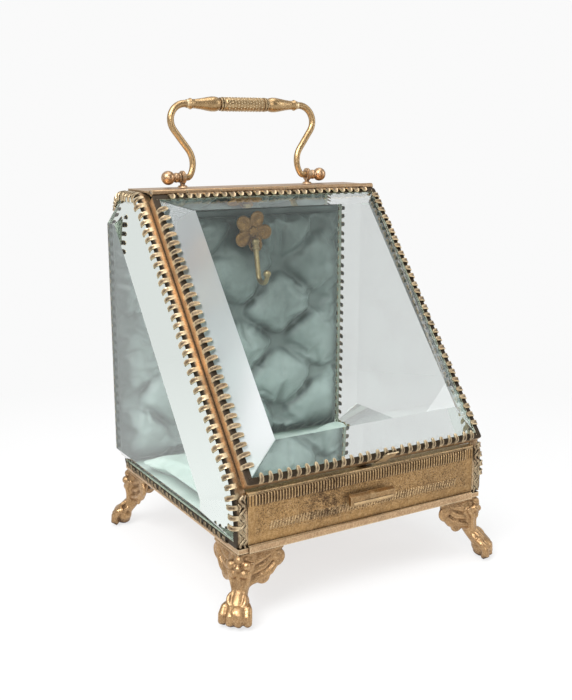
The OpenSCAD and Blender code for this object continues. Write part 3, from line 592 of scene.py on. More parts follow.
def stand_claws(shape, corners, radii, depth, place, pattern_at, seed):
    """Claws along the loop at the strip's pitch, none near the sharp corners, each a little askew."""
    shaky = random.Random(seed)
    line = rounded_loop(corners, radii, [16] * len(corners))
    steps = [(line[(k + 1) % len(line)] - line[k]).length for k in range(len(line))]
    total = sum(steps)
    count = round(total / CLAW_PITCH)
    sharp = [Vector(c) for c, r in zip(corners, radii) if r < 3]
    for k in range(count):
        want = (k + 0.5) * total / count
        at = 0
        while want > steps[at]:
            want -= steps[at]
            at += 1
        way = (line[(at + 1) % len(line)] - line[at]).normalized()
        spot = line[at] + way * want
        if min((spot - c).length for c in sharp) < CLAW_L + 0.4:
            continue
        base = place @ Matrix.Translation((spot.x, spot.y, 0))
        base = base @ Matrix.Rotation(atan2(way.y, way.x), 4, "Z")
        askew = Matrix.Rotation(radians(shaky.uniform(-7, 7)), 4, "Z")
        askew = askew @ Matrix.Rotation(radians(shaky.uniform(-5, 7)), 4, "X")
        grown = (shaky.uniform(0.88, 1.06), shaky.uniform(0.93, 1.03), shaky.uniform(0.9, 1.04), 1)
        outside = base @ (askew @ Matrix.Diagonal(grown))
        inside = base @ Matrix.Translation((0, 0, -depth))
        for pattern, turned in ((pattern_at(spot), outside), (flat_claw, inside)):
            known = len(shape.verts)
            shape.from_mesh(pattern)
            shape.verts.ensure_lookup_table()
            move(shape, turned, shape.verts[known:])


def add_vine(strip):
    """A running vine in relief on the short upright front of the right side strip."""
    middle = CASE_W / 2 - STRIP_W / 2
    wind = 1.34
    heights = [0.7 + 0.4 * k for k in range(41)]
    stem = [(middle + 0.85 * sin(wind * z), FRONT_Y, FOOT_H + z) for z in heights]
    rod(strip, stem, [0.42] * len(stem), 8)
    for k in range(7):
        side = 1 if k % 2 else -1
        high = FOOT_H + (k + 0.5) * pi / wind
        for lean, size, rise in ((35, 0.75, 0.7), (-20, 0.6, -0.4)):
            turned = Matrix.Rotation(radians(side * lean), 4, "Y")
            leaf = (middle + side * 0.75, FRONT_Y + 0.1, high + rise)
            ball(strip, leaf, size, (0.55, 0.6, 1.35), turned)
        ball(strip, (middle - side * 0.1, FRONT_Y, high + 0.7), 0.42)


side_corners = [(FRONT_Y, 0), (BACK_Y, 0), (BACK_Y, CASE_H), (FRONT_Y + SLOPE_RUN, CASE_H), (FRONT_Y, KICK_H)]
side_radii = [2, 2, 8, 8, 26]
broad_claw = claw_pattern(1.5, CLAW_L, CLAW_R, 0.28)
# the bottom row's claws are smaller and painted darker all over: painted shade for the shadowed lower edge
low_claw = claw_pattern(1.2, 2.6, 1.4, 0.1, 0.5)
flat_claw = flat_claw_pattern()
# y to the back and z up become the loop's own x and y
RIGHT = Matrix.Translation((CASE_W / 2, 0, FOOT_H)) @ Matrix(
    ((0, 0, 1, 0), (1, 0, 0, 0), (0, 1, 0, 0), (0, 0, 0, 1))
)
LEFT_FROM_RIGHT = Matrix.Diagonal((-1, 1, 1, 1))
for name, seed in (("right", 11), ("left", 12)):
    strip = bmesh.new()
    channel(strip, rounded_loop(side_corners, side_radii, [4, 4, 10, 10, 8]), STRIP_W, RIGHT)
    stand_claws(
        strip, side_corners, side_radii, STRIP_W, RIGHT,
        lambda spot: low_claw if spot.y < 1 else broad_claw, seed,
    )
    known = len(strip.verts)
    add_vine(strip)
    dirt_and_painted_light = strip.verts.layers.float["dirt_and_painted_light"]
    strip.verts.ensure_lookup_table()
    for v in strip.verts[known:]:
        v[dirt_and_painted_light] = 0.42
    face_out(strip)
    if name == "left":
        mirror(strip, LEFT_FROM_RIGHT)
    fit(name + "_claw_strip", strip, claw_gilt, "gilt_claw", "case", name + "_side_frame", angle=50)

# ---- Side panes ----
# Thick clear plate glass, the edges held flat in the strips, with broad ground and polished bevels
# up to a raised face. Light for the lining passes straight through.
GLASS_IOR = 1.5


def show_glass(tree, shader):
    """Gives a glass shader to the tree's output, with shadow rays and soft light passed through."""
    path = add(tree, "LightPath").outputs
    spread = calc(tree, "MAXIMUM", path["Is Shadow Ray"], path["Is Diffuse Ray"])
    clear = add(tree, "BsdfTransparent", Color=(0.93, 0.95, 0.94, 1))
    show(tree, add(tree, "MixShader", spread, shader, clear))


glass, tree = new_material("bevelled plate glass")
plate = add(
    tree, "BsdfPrincipled", Base_Color=(0.87, 0.885, 0.88, 1), Roughness=0.0, IOR=GLASS_IOR,
    Transmission_Weight=1.0,
)
# a ray that has been mirrored once goes straight through, a little greener
mirrored = calc(tree, "GREATER_THAN", add(tree, "LightPath").outputs["Glossy Depth"], 0.5)
green = add(tree, "BsdfTransparent", Color=(0.80, 0.85, 0.82, 1))
show_glass(tree, add(tree, "MixShader", mirrored, plate, green))
dress(glass, "left_side_glass", "right_side_glass", "door_glass")
# the door's left bevel kept more of its grinding than the rest
ground_glass, tree = new_material("ground bevel")
haze = ramp(tree, mottling(tree, object_place(tree), 40.0, 2.0), 0.3, 0.7, 0.22, 0.34)
show_glass(tree, add(
    tree, "BsdfPrincipled", Base_Color=(0.79, 0.805, 0.83, 1), Roughness=haze, IOR=GLASS_IOR,
    Transmission_Weight=1.0,
))
door_pane = nodes["door_glass"].data
door_pane.materials.append(ground_glass)
for face in door_pane.polygons:
    if face.normal.x < -0.3 and face.normal.z > 0.2:
        face.material_index = 1

# ---- Back pad ----
# Satin over wadding on a card, drawn down with hidden stitches at staggered points, so that it
# swells in lozenges with deep diagonal folds between.
INNER_X = CASE_W / 2 - STRIP_W
PAD_Y, PAD_BACK = 34.2, 41.7
PAD_LOW, PAD_HIGH, PAD_HALF = FOOT_H + 1.7, FOOT_H + 87.7, INNER_X - 1.0
TUFTS = [
    (-38, 83), (-3, 83.5), (32, 83), (-20.5, 68.5), (14.5, 69), (-38, 54), (-3, 52), (32, 54),
    (-20.5, 39.5), (14.5, 39.5), (-38, 25), (-3, 25), (32, 25), (-20.5, 11), (14.5, 11),
]
SEAM_SHORTEST, SEAM_LONGEST = 15, 25
PAD_COLUMNS, PAD_ROWS = 78, 80
satin, tree = new_material("grey-green satin")
place = object_place(tree)
shade = ramp(tree, mottling(tree, place, 90.0, 4.0, 0.6), 0.35, 0.7, 0.0, 0.5)
# painted shade: the satin is painted darker towards the top, where the top plate shades it, and lighter lower
# down
height = add(tree, "SeparateXYZ", place).outputs["Z"]
painted_top_shade = ramp(tree, height, (FOOT_H + 15) * MM, (FOOT_H + 75) * MM, 0.7, -0.15)
shade = calc(tree, "ADD", shade, painted_top_shade, clamp=True)
shaded = mix_colours(tree, shade, (0.085, 0.117, 0.11, 1), (0.29, 0.36, 0.345, 1))
# painted shade: the satin is painted near black deep in its folds
clear_of_fold_shade = ramp(tree, nearby(tree, 0.009, 8), 0.5, 0.98)
weft = add(tree, "TexWave", Vector=place, Scale=1500.0, Distortion=1.5).outputs["Fac"]
show(tree, add(
    tree, "BsdfPrincipled", Base_Color=mix_colours(tree, clear_of_fold_shade, (0.018, 0.035, 0.032, 1), shaded),
    Normal=add(tree, "Bump", Strength=0.04, Distance=0.00005, Height=weft),
    Roughness=0.42, Sheen_Weight=0.35, Sheen_Roughness=0.35, Sheen_Tint=(0.75, 0.9, 0.86, 1),
))

# the sheet is blown out ten times life size, held at its edges and at the stitches
SIM = 0.01
sheet_shape = bmesh.new()
bmesh.ops.create_grid(sheet_shape, x_segments=PAD_COLUMNS, y_segments=PAD_ROWS, size=0.5)
for v in sheet_shape.verts:
    v.co = Vector((v.co.x * 2 * PAD_HALF, 0.0, PAD_LOW + (v.co.y + 0.5) * (PAD_HIGH - PAD_LOW)))
held = []
for v in sheet_shape.verts:
    x, z = v.co.x, v.co.z - FOOT_H
    edge_near = min(PAD_HALF - abs(x), v.co.z - PAD_LOW, PAD_HIGH - v.co.z)
    tuft_near = min(hypot(x - a, z - b) for a, b in TUFTS)
    wobble = noise.noise(Vector((x * 0.13, 3.1, z * 0.13)))
    wobble += 0.5 * noise.noise(Vector((x * 0.4, 7.7, z * 0.4)))
    v.co.y = -2.0 * min(1.0, edge_near / 4) * min(1.0, tuft_near / 5) - 0.5 * wobble * min(1.0, edge_near / 3)
    if edge_near < 0.01:
        held.append(v.index)
        v.co.y = 0.0
    elif tuft_near < 0.8:
        held.append(v.index)
        v.co.y = 0.6
move(sheet_shape, Matrix.Scale(SIM, 4))
pad_holder = stand("pad cloth", as_mesh("pad cloth", sheet_shape))
pad_holder.vertex_groups.new(name="stitched").add(held, 1.0, "REPLACE")


def settle(holder, frames, pressure, shrink, stitched=None, stiff=5.0):
    """Runs the cloth from frame 1 to the last frame; returns its settled mesh."""
    sim = holder.modifiers.new("cloth", "CLOTH")
    cloth = sim.settings
    cloth.quality = 6
    cloth.mass = 0.3
    cloth.tension_stiffness = stiff
    cloth.compression_stiffness = stiff
    cloth.shear_stiffness = stiff
    cloth.bending_stiffness = 0.05
    cloth.use_pressure = True
    cloth.uniform_pressure_force = pressure
    cloth.effector_weights.gravity = 0.0
    cloth.shrink_min = shrink
    sim.collision_settings.use_collision = False
    if stitched:
        cloth.vertex_group_mass = stitched
    sim.point_cache.frame_start = 1
    sim.point_cache.frame_end = frames
    for number in range(1, frames + 1):
        scene.frame_set(number)
    ready = applied(holder)
    scene.frame_set(1)
    return ready


blown = settle(pad_holder, 24, 3.0, -0.14, "stitched")
blown.transform(Matrix.Scale(1 / SIM, 4))
pad_shape = bmesh.new()
pad_shape.from_mesh(blown)
bpy.data.meshes.remove(blown)
furthest = max(-v.co.y for v in pad_shape.verts)
seams = []
for at, first in enumerate(TUFTS):
    for second in TUFTS[at + 1:]:
        if SEAM_SHORTEST < hypot(first[0] - second[0], first[1] - second[1]) < SEAM_LONGEST:
            seams.append((first, second))


def to_seam(x, z, seam):
    """Distance from a point to the straight fold between two stitches."""
    (ax, az), (bx, bz) = seam
    t = ((x - ax) * (bx - ax) + (z - az) * (bz - az)) / ((bx - ax) ** 2 + (bz - az) ** 2)
    t = min(max(t, 0.0), 1.0)
    return hypot(x - ax - t * (bx - ax), z - az - t * (bz - az))


for v in pad_shape.verts:
    x, z = v.co.x, v.co.z - FOOT_H
    wander = 1.6 * noise.noise_vector(Vector((x * 0.09, 5.0, z * 0.09)))
    fold = min(to_seam(x + wander.x, z + wander.z, seam) for seam in seams)
    near = min(TUFTS, key=lambda t: hypot(x - t[0], z - t[1]))
    away = hypot(x - near[0], z - near[1])
    gathers = sin(7 * atan2(z - near[1], x - near[0]) + near[0]) * exp(-away / 4.5)
    swell = -v.co.y / furthest
    sink = 2.4 * exp(-((fold / 1.5) ** 2)) + 3.2 * exp(-((away / 2.3) ** 2)) + 0.5 * gathers
    puffed = PAD_BACK - 0.8 - 6.9 * max(swell, -0.1) + sink * min(1.0, swell * 3 + 0.1)
    v.co.y = min(PAD_BACK - 0.9, puffed)
    v.co.x = min(max(v.co.x, -PAD_HALF), PAD_HALF)
    v.co.z = min(max(v.co.z, PAD_LOW), PAD_HIGH)
# the satin turns back at its edges to the card
rims = [e for e in pad_shape.edges if e.is_boundary]
for v in bmesh.ops.extrude_edge_only(pad_shape, edges=rims)["geom"]:
    if isinstance(v, bmesh.types.BMVert):
        v.co.y = PAD_BACK
rims = [e for e in pad_shape.edges if e.is_boundary]
card_face = bmesh.ops.contextual_create(pad_shape, geom=rims)["faces"]
bmesh.ops.triangulate(pad_shape, faces=card_face, ngon_method="BEAUTY")
face_out(pad_shape)


def round_off(piece):
    """One level of subdivision over a cloth piece."""
    rounded = piece.modifiers.new("rounded", "SUBSURF")
    rounded.levels = 1
    rounded.render_levels = 1


pad_piece = fit("tufted_back_pad", pad_shape, satin, "satin", "case", "back_pad", angle=180)
round_off(pad_piece)

# ---- Covered boards ----
# Thin cards behind the pad, under the top and behind the front, each wrapped in the same satin and
# pushed into place. Their edges are soft and the satin lies in faint puckers.


def ease_edges(shape, edges, offset, segments):
    """Bevels edges, as a file or a fold of cloth leaves them."""
    bmesh.ops.bevel(
        shape, geom=edges, offset=offset, offset_type="OFFSET", segments=segments, profile=0.5,
        affect="EDGES", clamp_overlap=True, material=-1,
    )


def covered(name, node, material, slot, ease, pucker):
    """A card wrapped in cloth: the node's own shape with eased edges and faint puckers."""
    shape = bmesh.new()
    shape.from_mesh(nodes[node].data)
    bmesh.ops.scale(shape, vec=(1000, 1000, 1000), verts=shape.verts)
    bmesh.ops.remove_doubles(shape, verts=shape.verts, dist=0.001)
    bmesh.ops.dissolve_limit(shape, angle_limit=radians(2), verts=shape.verts, edges=shape.edges)
    sharp = [e for e in shape.edges if len(e.link_faces) == 2 and e.calc_face_angle() > radians(35)]
    ease_edges(shape, sharp, ease, 2)
    bmesh.ops.triangulate(shape, faces=[f for f in shape.faces if len(f.verts) > 4])
    for _ in range(3):
        long_edges = [e for e in shape.edges if e.calc_length() > 4.0]
        bmesh.ops.subdivide_edges(shape, edges=long_edges, cuts=1, use_grid_fill=True)
    bmesh.ops.triangulate(shape, faces=[f for f in shape.faces if len(f.verts) > 4])
    shape.normal_update()
    for v in shape.verts:
        lift = noise.noise(v.co * 0.22) + 0.5 * noise.noise(v.co * 0.7)
        v.co -= v.normal * pucker * (0.5 + 0.5 * lift)
    return fit(name, shape, material, slot, "case", node, angle=50)


covered("satin_back_board", "back_board", satin, "satin", 0.3, 0.12)
covered("satin_top_lining", "top_lining", satin, "satin", 0.3, 0.15)
covered("satin_front_lining", "front_lining", satin, "satin", 0.2, 0.08)

# ---- Floor ----
# A thin card and a flat cushion of pale mint silk over wadding, loose enough to lie in crumples.
silk, tree = new_material("pale mint silk")
place = object_place(tree)
shade = ramp(tree, mottling(tree, place, 120.0), 0.35, 0.7)
shaded = mix_colours(tree, shade, (0.43, 0.54, 0.49, 1), (0.57, 0.67, 0.62, 1))
# painted shade: the silk is painted darker in its folds and crumples
clear_of_fold_shade = ramp(tree, nearby(tree, 0.004, 8), 0.3, 0.9)
crumpled = mottling(tree, place, 260.0, 4.0, 0.6)
show(tree, add(
    tree, "BsdfPrincipled", Base_Color=mix_colours(tree, clear_of_fold_shade, (0.20, 0.30, 0.25, 1), shaded),
    Normal=add(tree, "Bump", Strength=0.3, Distance=0.0004, Height=crumpled),
    Roughness=0.42, Sheen_Weight=0.3, Sheen_Roughness=0.3,
))
covered("silk_floor_card", "floor_board", silk, "pale_silk", 0.3, 0.1)

FLOOR_LOW, FLOOR_HIGH, FLOOR_HALF = FOOT_H + 1.7, FOOT_H + 7.6, INNER_X - 1.2
FLOOR_FRONT, FLOOR_BACK = -32.9, 33.9
CUSHION_VOXEL, CUSHION_SWELL = 0.015, 0.06
cushion_shape = bmesh.new()
block(
    cushion_shape, (2 * FLOOR_HALF - 3, FLOOR_BACK - FLOOR_FRONT - 3, 3.4),
    (0, (FLOOR_FRONT + FLOOR_BACK) / 2, (FLOOR_LOW + FLOOR_HIGH) / 2),
)
move(cushion_shape, Matrix.Scale(SIM, 4))
block_holder = stand("cushion block", as_mesh("cushion block", cushion_shape))
skin = block_holder.modifiers.new("skin", "REMESH")
skin.mode = "VOXEL"
skin.voxel_size = CUSHION_VOXEL
casing = applied(block_holder)
rest = [v.co.copy() for v in casing.vertices]
for v in casing.vertices:
    v.co += 0.004 * noise.noise_vector(v.co * 14)
filled = settle(stand("cushion cloth", casing), 20, 4.0, -0.12, stiff=8.0)
for v, was in zip(filled.vertices, rest):
    moved = v.co - was
    if moved.length > CUSHION_SWELL:
        v.co = was + moved.normalized() * CUSHION_SWELL
filled.transform(Matrix.Scale(1 / SIM, 4))
low = min(v.co.z for v in filled.vertices)
high = max(v.co.z for v in filled.vertices)
for v in filled.vertices:
    v.co.z = FLOOR_LOW + (FLOOR_HIGH - FLOOR_LOW) * (v.co.z - low) / (high - low)
    v.co.x = min(max(v.co.x, -FLOOR_HALF), FLOOR_HALF)
    v.co.y = min(max(v.co.y, FLOOR_FRONT), FLOOR_BACK)
floor_piece = fit("floor_cushion_silk", filled, silk, "pale_silk", "case", "floor_cushion", angle=180)
round_off(floor_piece)

# ---- Rosette and watch hook ----
# A stamped and gilt flower of five cupped petals with a beaded heart, on a stud through the pad,
# and a cast hook soldered below its heart that turns up to a ball.
ROSETTE_Z = FOOT_H + CASE_H - 18.2
ROSETTE_VOXEL = 0.16
rosette_gilt = gilt(
    "gilt rosette", Gold=(0.25, 0.13, 0.045, 1), Rubbed=(0.90, 0.58, 0.26, 1), Patina=(0.06, 0.025, 0.008, 1),
    Hollow_Size=0.004, Mottle=0.4,
)
hook_gilt = gilt("gilt hook", Gold=(0.36, 0.27, 0.14, 1), Mottle=0.4)


def stub(shape, radius, other_radius, length, middle, segments):
    """A round bar or disc that lies along y, joined to the shape."""
    along_y = Matrix.Translation(middle) @ Matrix.Rotation(radians(90), 4, "X")
    bmesh.ops.create_cone(
        shape, cap_ends=True, segments=segments, radius1=radius, radius2=other_radius, depth=length,
        matrix=along_y,
    )


flower = bmesh.new()
front = PAD_Y - 0.3
for k in range(5):
    # each petal is a thick rounded lobe, dished along its middle, its outer edge curling forward
    petal = bmesh.new()
    bmesh.ops.create_icosphere(petal, subdivisions=4, radius=1.0)
    for v in petal.verts:
        x, y, z = v.co.x * 3.3, v.co.y * 0.95, v.co.z * 2.75
        if y < 0:
            y += 0.75 * exp(-((z / 1.3) ** 2) - ((x - 0.3) / 2.2) ** 2)
            y -= 0.35 * max(0.0, x / 3.3) ** 2
        v.co = Vector((x + 4.5, y, z * (1 + 0.12 * x / 3.3)))
    turned = Matrix.Rotation(-radians(68 + 72 * k), 4, "Y")
    placed = Matrix.Translation((0, front - 0.75, ROSETTE_Z)) @ turned
    move(petal, placed)
    join(flower, petal)
ball(flower, (0, front - 1.1, ROSETTE_Z), 2.0, (1, 0.55, 1))
for k in range(7):
    a = radians(360 / 7 * k)
    ball(flower, (1.45 * cos(a), front - 1.6, ROSETTE_Z + 1.45 * sin(a)), 0.5)
stub(flower, 5.2, 5.0, 0.7, (0, front - 0.35, ROSETTE_Z), 40)
stub(flower, 1.0, 1.0, 9.6, (0, front + 4.75, ROSETTE_Z), 32)
flower_mesh = cast_solid("rosette", flower, ROSETTE_VOXEL)
fit("flower_rosette", flower_mesh, rosette_gilt, "gilt_cast", "case", "rosette", angle=60)

hook = bmesh.new()
top_y, top_z = PAD_Y - 2.9, ROSETTE_Z - 3.5
foot_y, foot_z = top_y - 2.2, top_z - 11.1
HOOK_BEND = 3.3
bend_y = foot_y - HOOK_BEND
line = [(0, top_y + (foot_y - top_y) * t, top_z + (foot_z - top_z) * t) for t in (0, 0.2, 0.45, 0.7, 0.9)]
for k in range(13):
    a = radians(15 * k)
    line.append((0, bend_y + HOOK_BEND * cos(a), foot_z - HOOK_BEND * sin(a)))
rod(hook, line, [1.25, 1.1, 0.98, 0.95, 0.95] + [0.95] * 9 + [0.85] * 4, 18)
ball(hook, (0, top_y, top_z), 1.5)
ball(hook, (0, bend_y - HOOK_BEND, foot_z + 0.4), 1.4)
rod(hook, [(0, top_y - 0.3, top_z - 2.0), (0, top_y - 0.4, top_z - 2.6)], [1.5, 1.5], 18)
hook_mesh = cast_solid("hook", hook, ROSETTE_VOXEL)
fit("watch_hook_cast", hook_mesh, hook_gilt, "gilt_cast", "case", "watch_hook", angle=60)

# ---- Front panel ----
# Brass sheet stamped in relief: a close row of upright reeds above, a stippled field, and a row of
# short slanting reeds below, with plain borders. The patina lies dark beside the push bar.
PANEL_H, PANEL_HALF = KICK_H - 0.7, INNER_X - 0.05
REED_STEP, REEDS_FROM = 1.03, -40.5
REED_COUNT = int(-2 * REEDS_FROM / REED_STEP)
stamped_gilt = gilt(
    "stamped gilt", relief=0.0003, bump=0.9, Gold=(0.47, 0.285, 0.12, 1), Rubbed=(0.82, 0.60, 0.34, 1),
    Hollow_Size=0.0010, Mottle=0.25, Grain_Size=1500.0,
)
tree = stamped_gilt.node_tree
place = object_place(tree)
spot = (-0.0155, FRONT_Y * MM, (FOOT_H + 9.3) * MM)
near_spot = ramp(tree, distance(tree, place, spot), 0.002, 0.012, 1.0, 0.0)
patchy = ramp(tree, mottling(tree, place, 600.0, 5.0, 0.7), 0.38, 0.62)
spotted = calc(tree, "MULTIPLY", calc(tree, "MULTIPLY", near_spot, patchy), 0.8)
# the stippled field is speckled with dirt between its dots; the borders are rubbed clean
where = add(tree, "SeparateXYZ", place).outputs
inside = ramp(tree, calc(tree, "ABSOLUTE", where["X"]), 0.0402, 0.0412, 1.0, 0.0)
above = ramp(tree, where["Z"], (FOOT_H + 2.8) * MM, (FOOT_H + 3.8) * MM)
speckle = ramp(tree, mottling(tree, place, 2300.0, 2.0), 0.46, 0.66, 0.0, 0.6)
dotted = calc(tree, "MULTIPLY", calc(tree, "MULTIPLY", inside, above), speckle)
# dirt fills the gaps between the upper reeds
across = calc(tree, "MULTIPLY_ADD", where["X"], 1 / (REED_STEP * MM), 0.5 - REEDS_FROM / REED_STEP)
off_reed = calc(tree, "ABSOLUTE", calc(tree, "SUBTRACT", calc(tree, "FRACT", across), 0.5))
reeds_foot = ramp(tree, where["Z"], (FOOT_H + 12.6) * MM, (FOOT_H + 12.9) * MM)
reeds_head = ramp(tree, where["Z"], (FOOT_H + 16.1) * MM, (FOOT_H + 16.3) * MM, 1.0, 0.0)
upper_row = calc(tree, "MULTIPLY", reeds_foot, reeds_head)
darkening = calc(tree, "MULTIPLY", upper_row, ramp(tree, off_reed, 0.24, 0.4, -0.25, 0.85))
soot = calc(tree, "ADD", dotted, spotted)
feed(tree, tree.nodes["worn gilding"].inputs["Age"], calc(tree, "ADD", soot, darkening, clamp=True))

panel = bmesh.new()
block(panel, (2 * PANEL_HALF, 0.6, PANEL_H), (0, FRONT_Y + 0.4, FOOT_H + PANEL_H / 2))
block(panel, (2 * PANEL_HALF, 2.9, 1.1), (0, FRONT_Y + 1.55, FOOT_H + PANEL_H - 0.15))
ease_edges(panel, panel.edges[:], 0.12, 2)


def reed(shape, x, low_z, high_z, wide, deep, slant=0.0):
    """One raised reed on the panel: a long low mound."""
    place = Matrix.Translation((x, FRONT_Y + 0.12, FOOT_H + (low_z + high_z) / 2))
    place = place @ Matrix.Rotation(radians(slant), 4, "Y")
    made = bmesh.ops.create_uvsphere(shape, u_segments=8, v_segments=8, radius=1.0)["verts"]
    for v in made:
        v.co.z = copysign(abs(v.co.z) ** 0.4, v.co.z)
    place = place @ Matrix.Diagonal((wide, deep, (high_z - low_z) / 2, 1))
    move(shape, place, made)


for k in range(REED_COUNT + 1):
    x = REEDS_FROM + k * REED_STEP
    reed(panel, x, 12.7, 16.2, 0.38, 0.52)
    if 4 < k < REED_COUNT - 3:
        reed(panel, x, 4.2, 7.0, 0.3, 0.26, 14)
fit("stamped_front", panel, stamped_gilt, "gilt_stamped", "case", "front_panel", angle=50)

# ---- Door ----
# A single bevelled pane in claw strip, hung from the top plate. The strip's ends lap near the
# middle of the lower rail, where a small tab is soldered over the joint.
SLOPE_A = atan(SLOPE_RUN / (CASE_H - KICK_H))
SLOPE_L = hypot(SLOPE_RUN, CASE_H - KICK_H)
DOOR_HALF = (CASE_W - 2 * 2.3) / 2
DOOR_FOOT, DOOR_TOP, DOOR_FACE = 0.8, SLOPE_L - 3.9, 0.3 + DOOR_T
ON_SLOPE = Matrix.Translation((0, FRONT_Y, FOOT_H + KICK_H)) @ Matrix.Rotation(pi / 2 - SLOPE_A, 4, "X")
DOOR_PLACE = ON_SLOPE @ Matrix.Translation((0, 0, DOOR_FACE))
door_corners = [
    (-DOOR_HALF, DOOR_FOOT), (DOOR_HALF, DOOR_FOOT), (DOOR_HALF, DOOR_TOP), (-DOOR_HALF, DOOR_TOP),
]
slim_claw = claw_pattern(1.35, 2.8, 1.6, 0.08)
short_claw = claw_pattern(2.0, 2.4, 1.45, 0.2)


def door_claw(spot):
    """The claws of the lower rail are slim, those of the top rail short, and the rest broad."""
    if spot.y < DOOR_FOOT + 1:
        return slim_claw
    return short_claw if spot.y > DOOR_TOP - 1 else broad_claw


door_strip = bmesh.new()
channel(door_strip, rounded_loop(door_corners, [0.8] * 4, [3] * 4), DOOR_T, DOOR_PLACE)
stand_claws(door_strip, door_corners, [0.8] * 4, DOOR_T, DOOR_PLACE, door_claw, 13)
tab = bmesh.ops.create_cube(door_strip, size=1.0)["verts"]
for v in tab:
    shift, rise, height = (1.3, 0.5, 1.9) if v.co.z > 0 else (-1.0, 0.0, -3.4)
    v.co = Vector((5.2 + v.co.x * 4.4 + shift, DOOR_FOOT - 0.2 + v.co.y * 0.4 + rise, height))
move(door_strip, DOOR_PLACE, tab)
face_out(door_strip)
fit("door_claw_strip", door_strip, claw_gilt, "gilt_claw", "door", "door_frame", angle=50)

# ---- Push latch ----
# A gilt bar on a stem through the front, with a plain brass catch plate, spring and clip behind.
BAR_BACK, STEM_Z = FRONT_Y - 1.4, FOOT_H + 8.5
button = bmesh.new()
bmesh.ops.create_cube(button, size=1.0)
for v in button.verts:
    v.co = Vector((v.co.x * 17.0, BAR_BACK - 0.8 + v.co.y * 1.6, STEM_Z + v.co.z * 3.6))
    if v.co.y < BAR_BACK - 1 and v.co.z > STEM_Z:
        v.co.z -= 0.75
ease_edges(button, button.edges[:], 0.16, 3)
stub(button, 1.2, 1.2, 11.0, (0, BAR_BACK + 4.3, STEM_Z), 32)
block(button, (15.2, 0.5, 0.7), (0, BAR_BACK - 1.62, STEM_Z - 0.9))
button_gilt = gilt(
    "gilt push bar", Gold=(0.38, 0.235, 0.11, 1), Rubbed=(0.78, 0.56, 0.31, 1), Mottle=0.5, Hollow_Size=0.002,
)
fit("push_bar", button, button_gilt, "gilt_cast", "button", "latch_button", angle=35)
steel, tree = new_material("plain steel")
tarnish = mottling(tree, object_place(tree), 700.0, 4.0, 0.6)
dull = ramp(tree, tarnish, 0.4, 0.7)
show(tree, add(
    tree, "BsdfPrincipled", Metallic=1.0, Roughness=ramp(tree, tarnish, 0.3, 0.7, 0.28, 0.5),
    Base_Color=mix_colours(tree, dull, (0.46, 0.44, 0.41, 1), (0.24, 0.20, 0.16, 1)),
))
dress(steel, "hinge_pin", "foot_screws", "latch_spring", "button_clip")
plain_brass = gilt("plain brass", Gold=(0.42, 0.30, 0.14, 1), Mottle=0.5)
dress(plain_brass, "latch_bracket", "catch_arm", "door_lug", "handle_post_nuts")

# ---- Handle posts and ball finials ----
# Two turned posts with ring eyes, riveted through the top plate, and the turned ball ends of the
# handle that sit against them; copper shows through the gilding.
AXIS_Z, HANDLE_Y, EYE_X = FOOT_H + CASE_H + 0.7 + 3.4, BACK_Y - 10.5, 25.7
BALL_R = 2.45
copper_gilt = gilt("coppery gilt", Gold=(0.54, 0.34, 0.195, 1), Rubbed=(0.90, 0.68, 0.45, 1), Mottle=0.22)
dress(copper_gilt, "left_handle_post", "right_handle_post")


def turned_form(shape, profile, place, steps):
    """A turned shape: profile of (radius, distance) spun about x and put in place."""
    known = set(shape.verts)
    line = [shape.verts.new((x, 0, r)) for r, x in profile]
    edges = [shape.edges.new((a, b)) for a, b in zip(line, line[1:])]
    bmesh.ops.spin(
        shape, geom=[*line, *edges], cent=(0, 0, 0), axis=(1, 0, 0), angle=2 * pi, steps=steps,
        use_merge=True,
    )
    made = [v for v in shape.verts if v not in known]
    bmesh.ops.remove_doubles(shape, verts=made, dist=0.0005)
    made = [v for v in shape.verts if v not in known]
    move(shape, place, made)


for name in ("left", "right"):
    finial = bmesh.new()
    knob = [(1.2, 0.0), (1.7, 0.02), (1.7, 0.5), (1.35, 0.6), (1.6, 0.9), (1.75, 1.4), (1.6, 2.0), (1.3, 2.2)]
    for k in range(12):
        a = radians(150 - 150 * k / 12)
        knob.append((BALL_R * sin(a), 4.45 + BALL_R * cos(a)))
    knob.append((0.0, 4.45 + BALL_R))
    turned_form(finial, knob, Matrix.Translation((EYE_X + 1.0, HANDLE_Y, AXIS_Z)), 44)
    bmesh.ops.holes_fill(finial, edges=[e for e in finial.edges if e.is_boundary], sides=0)
    face_out(finial)
    if name == "left":
        mirror(finial, LEFT_FROM_RIGHT)
    fit(name + "_ball_finial", finial, copper_gilt, "gilt_cast", "bail", name + "_finial", angle=35)

# ---- Bail handle ----
# A cast and chased bail: tapered rods that bow out and bend up into a turned grip with ringed ends
# and a beaded barrel. It swings in the ring eyes and leans back a little at rest.
FOOT_TURN, LOWER_BEND, UPPER_BEND, LEG_STRAIGHT = 1.6, 8.0, 5.7, 8.0
LEAN, TOE_LEAN, REST_LEAN = radians(36.87), radians(32), radians(-5)
BEAD_ROWS, BEADS_ROUND = 12, 16
bail_gilt = gilt(
    "gilt bail", Gold=(0.46, 0.30, 0.145, 1), Patina=(0.06, 0.03, 0.01, 1), Hollow_Size=0.0014, Mottle=0.3,
)


def polar(a):
    """A unit vector at an angle, as x and z."""
    return Vector((cos(a), sin(a)))


def arc(centre, radius, start, sweep, steps):
    """Points on an arc, whose last step ends its sweep."""
    return [centre + radius * polar(start + sweep * k / steps[-1]) for k in steps]


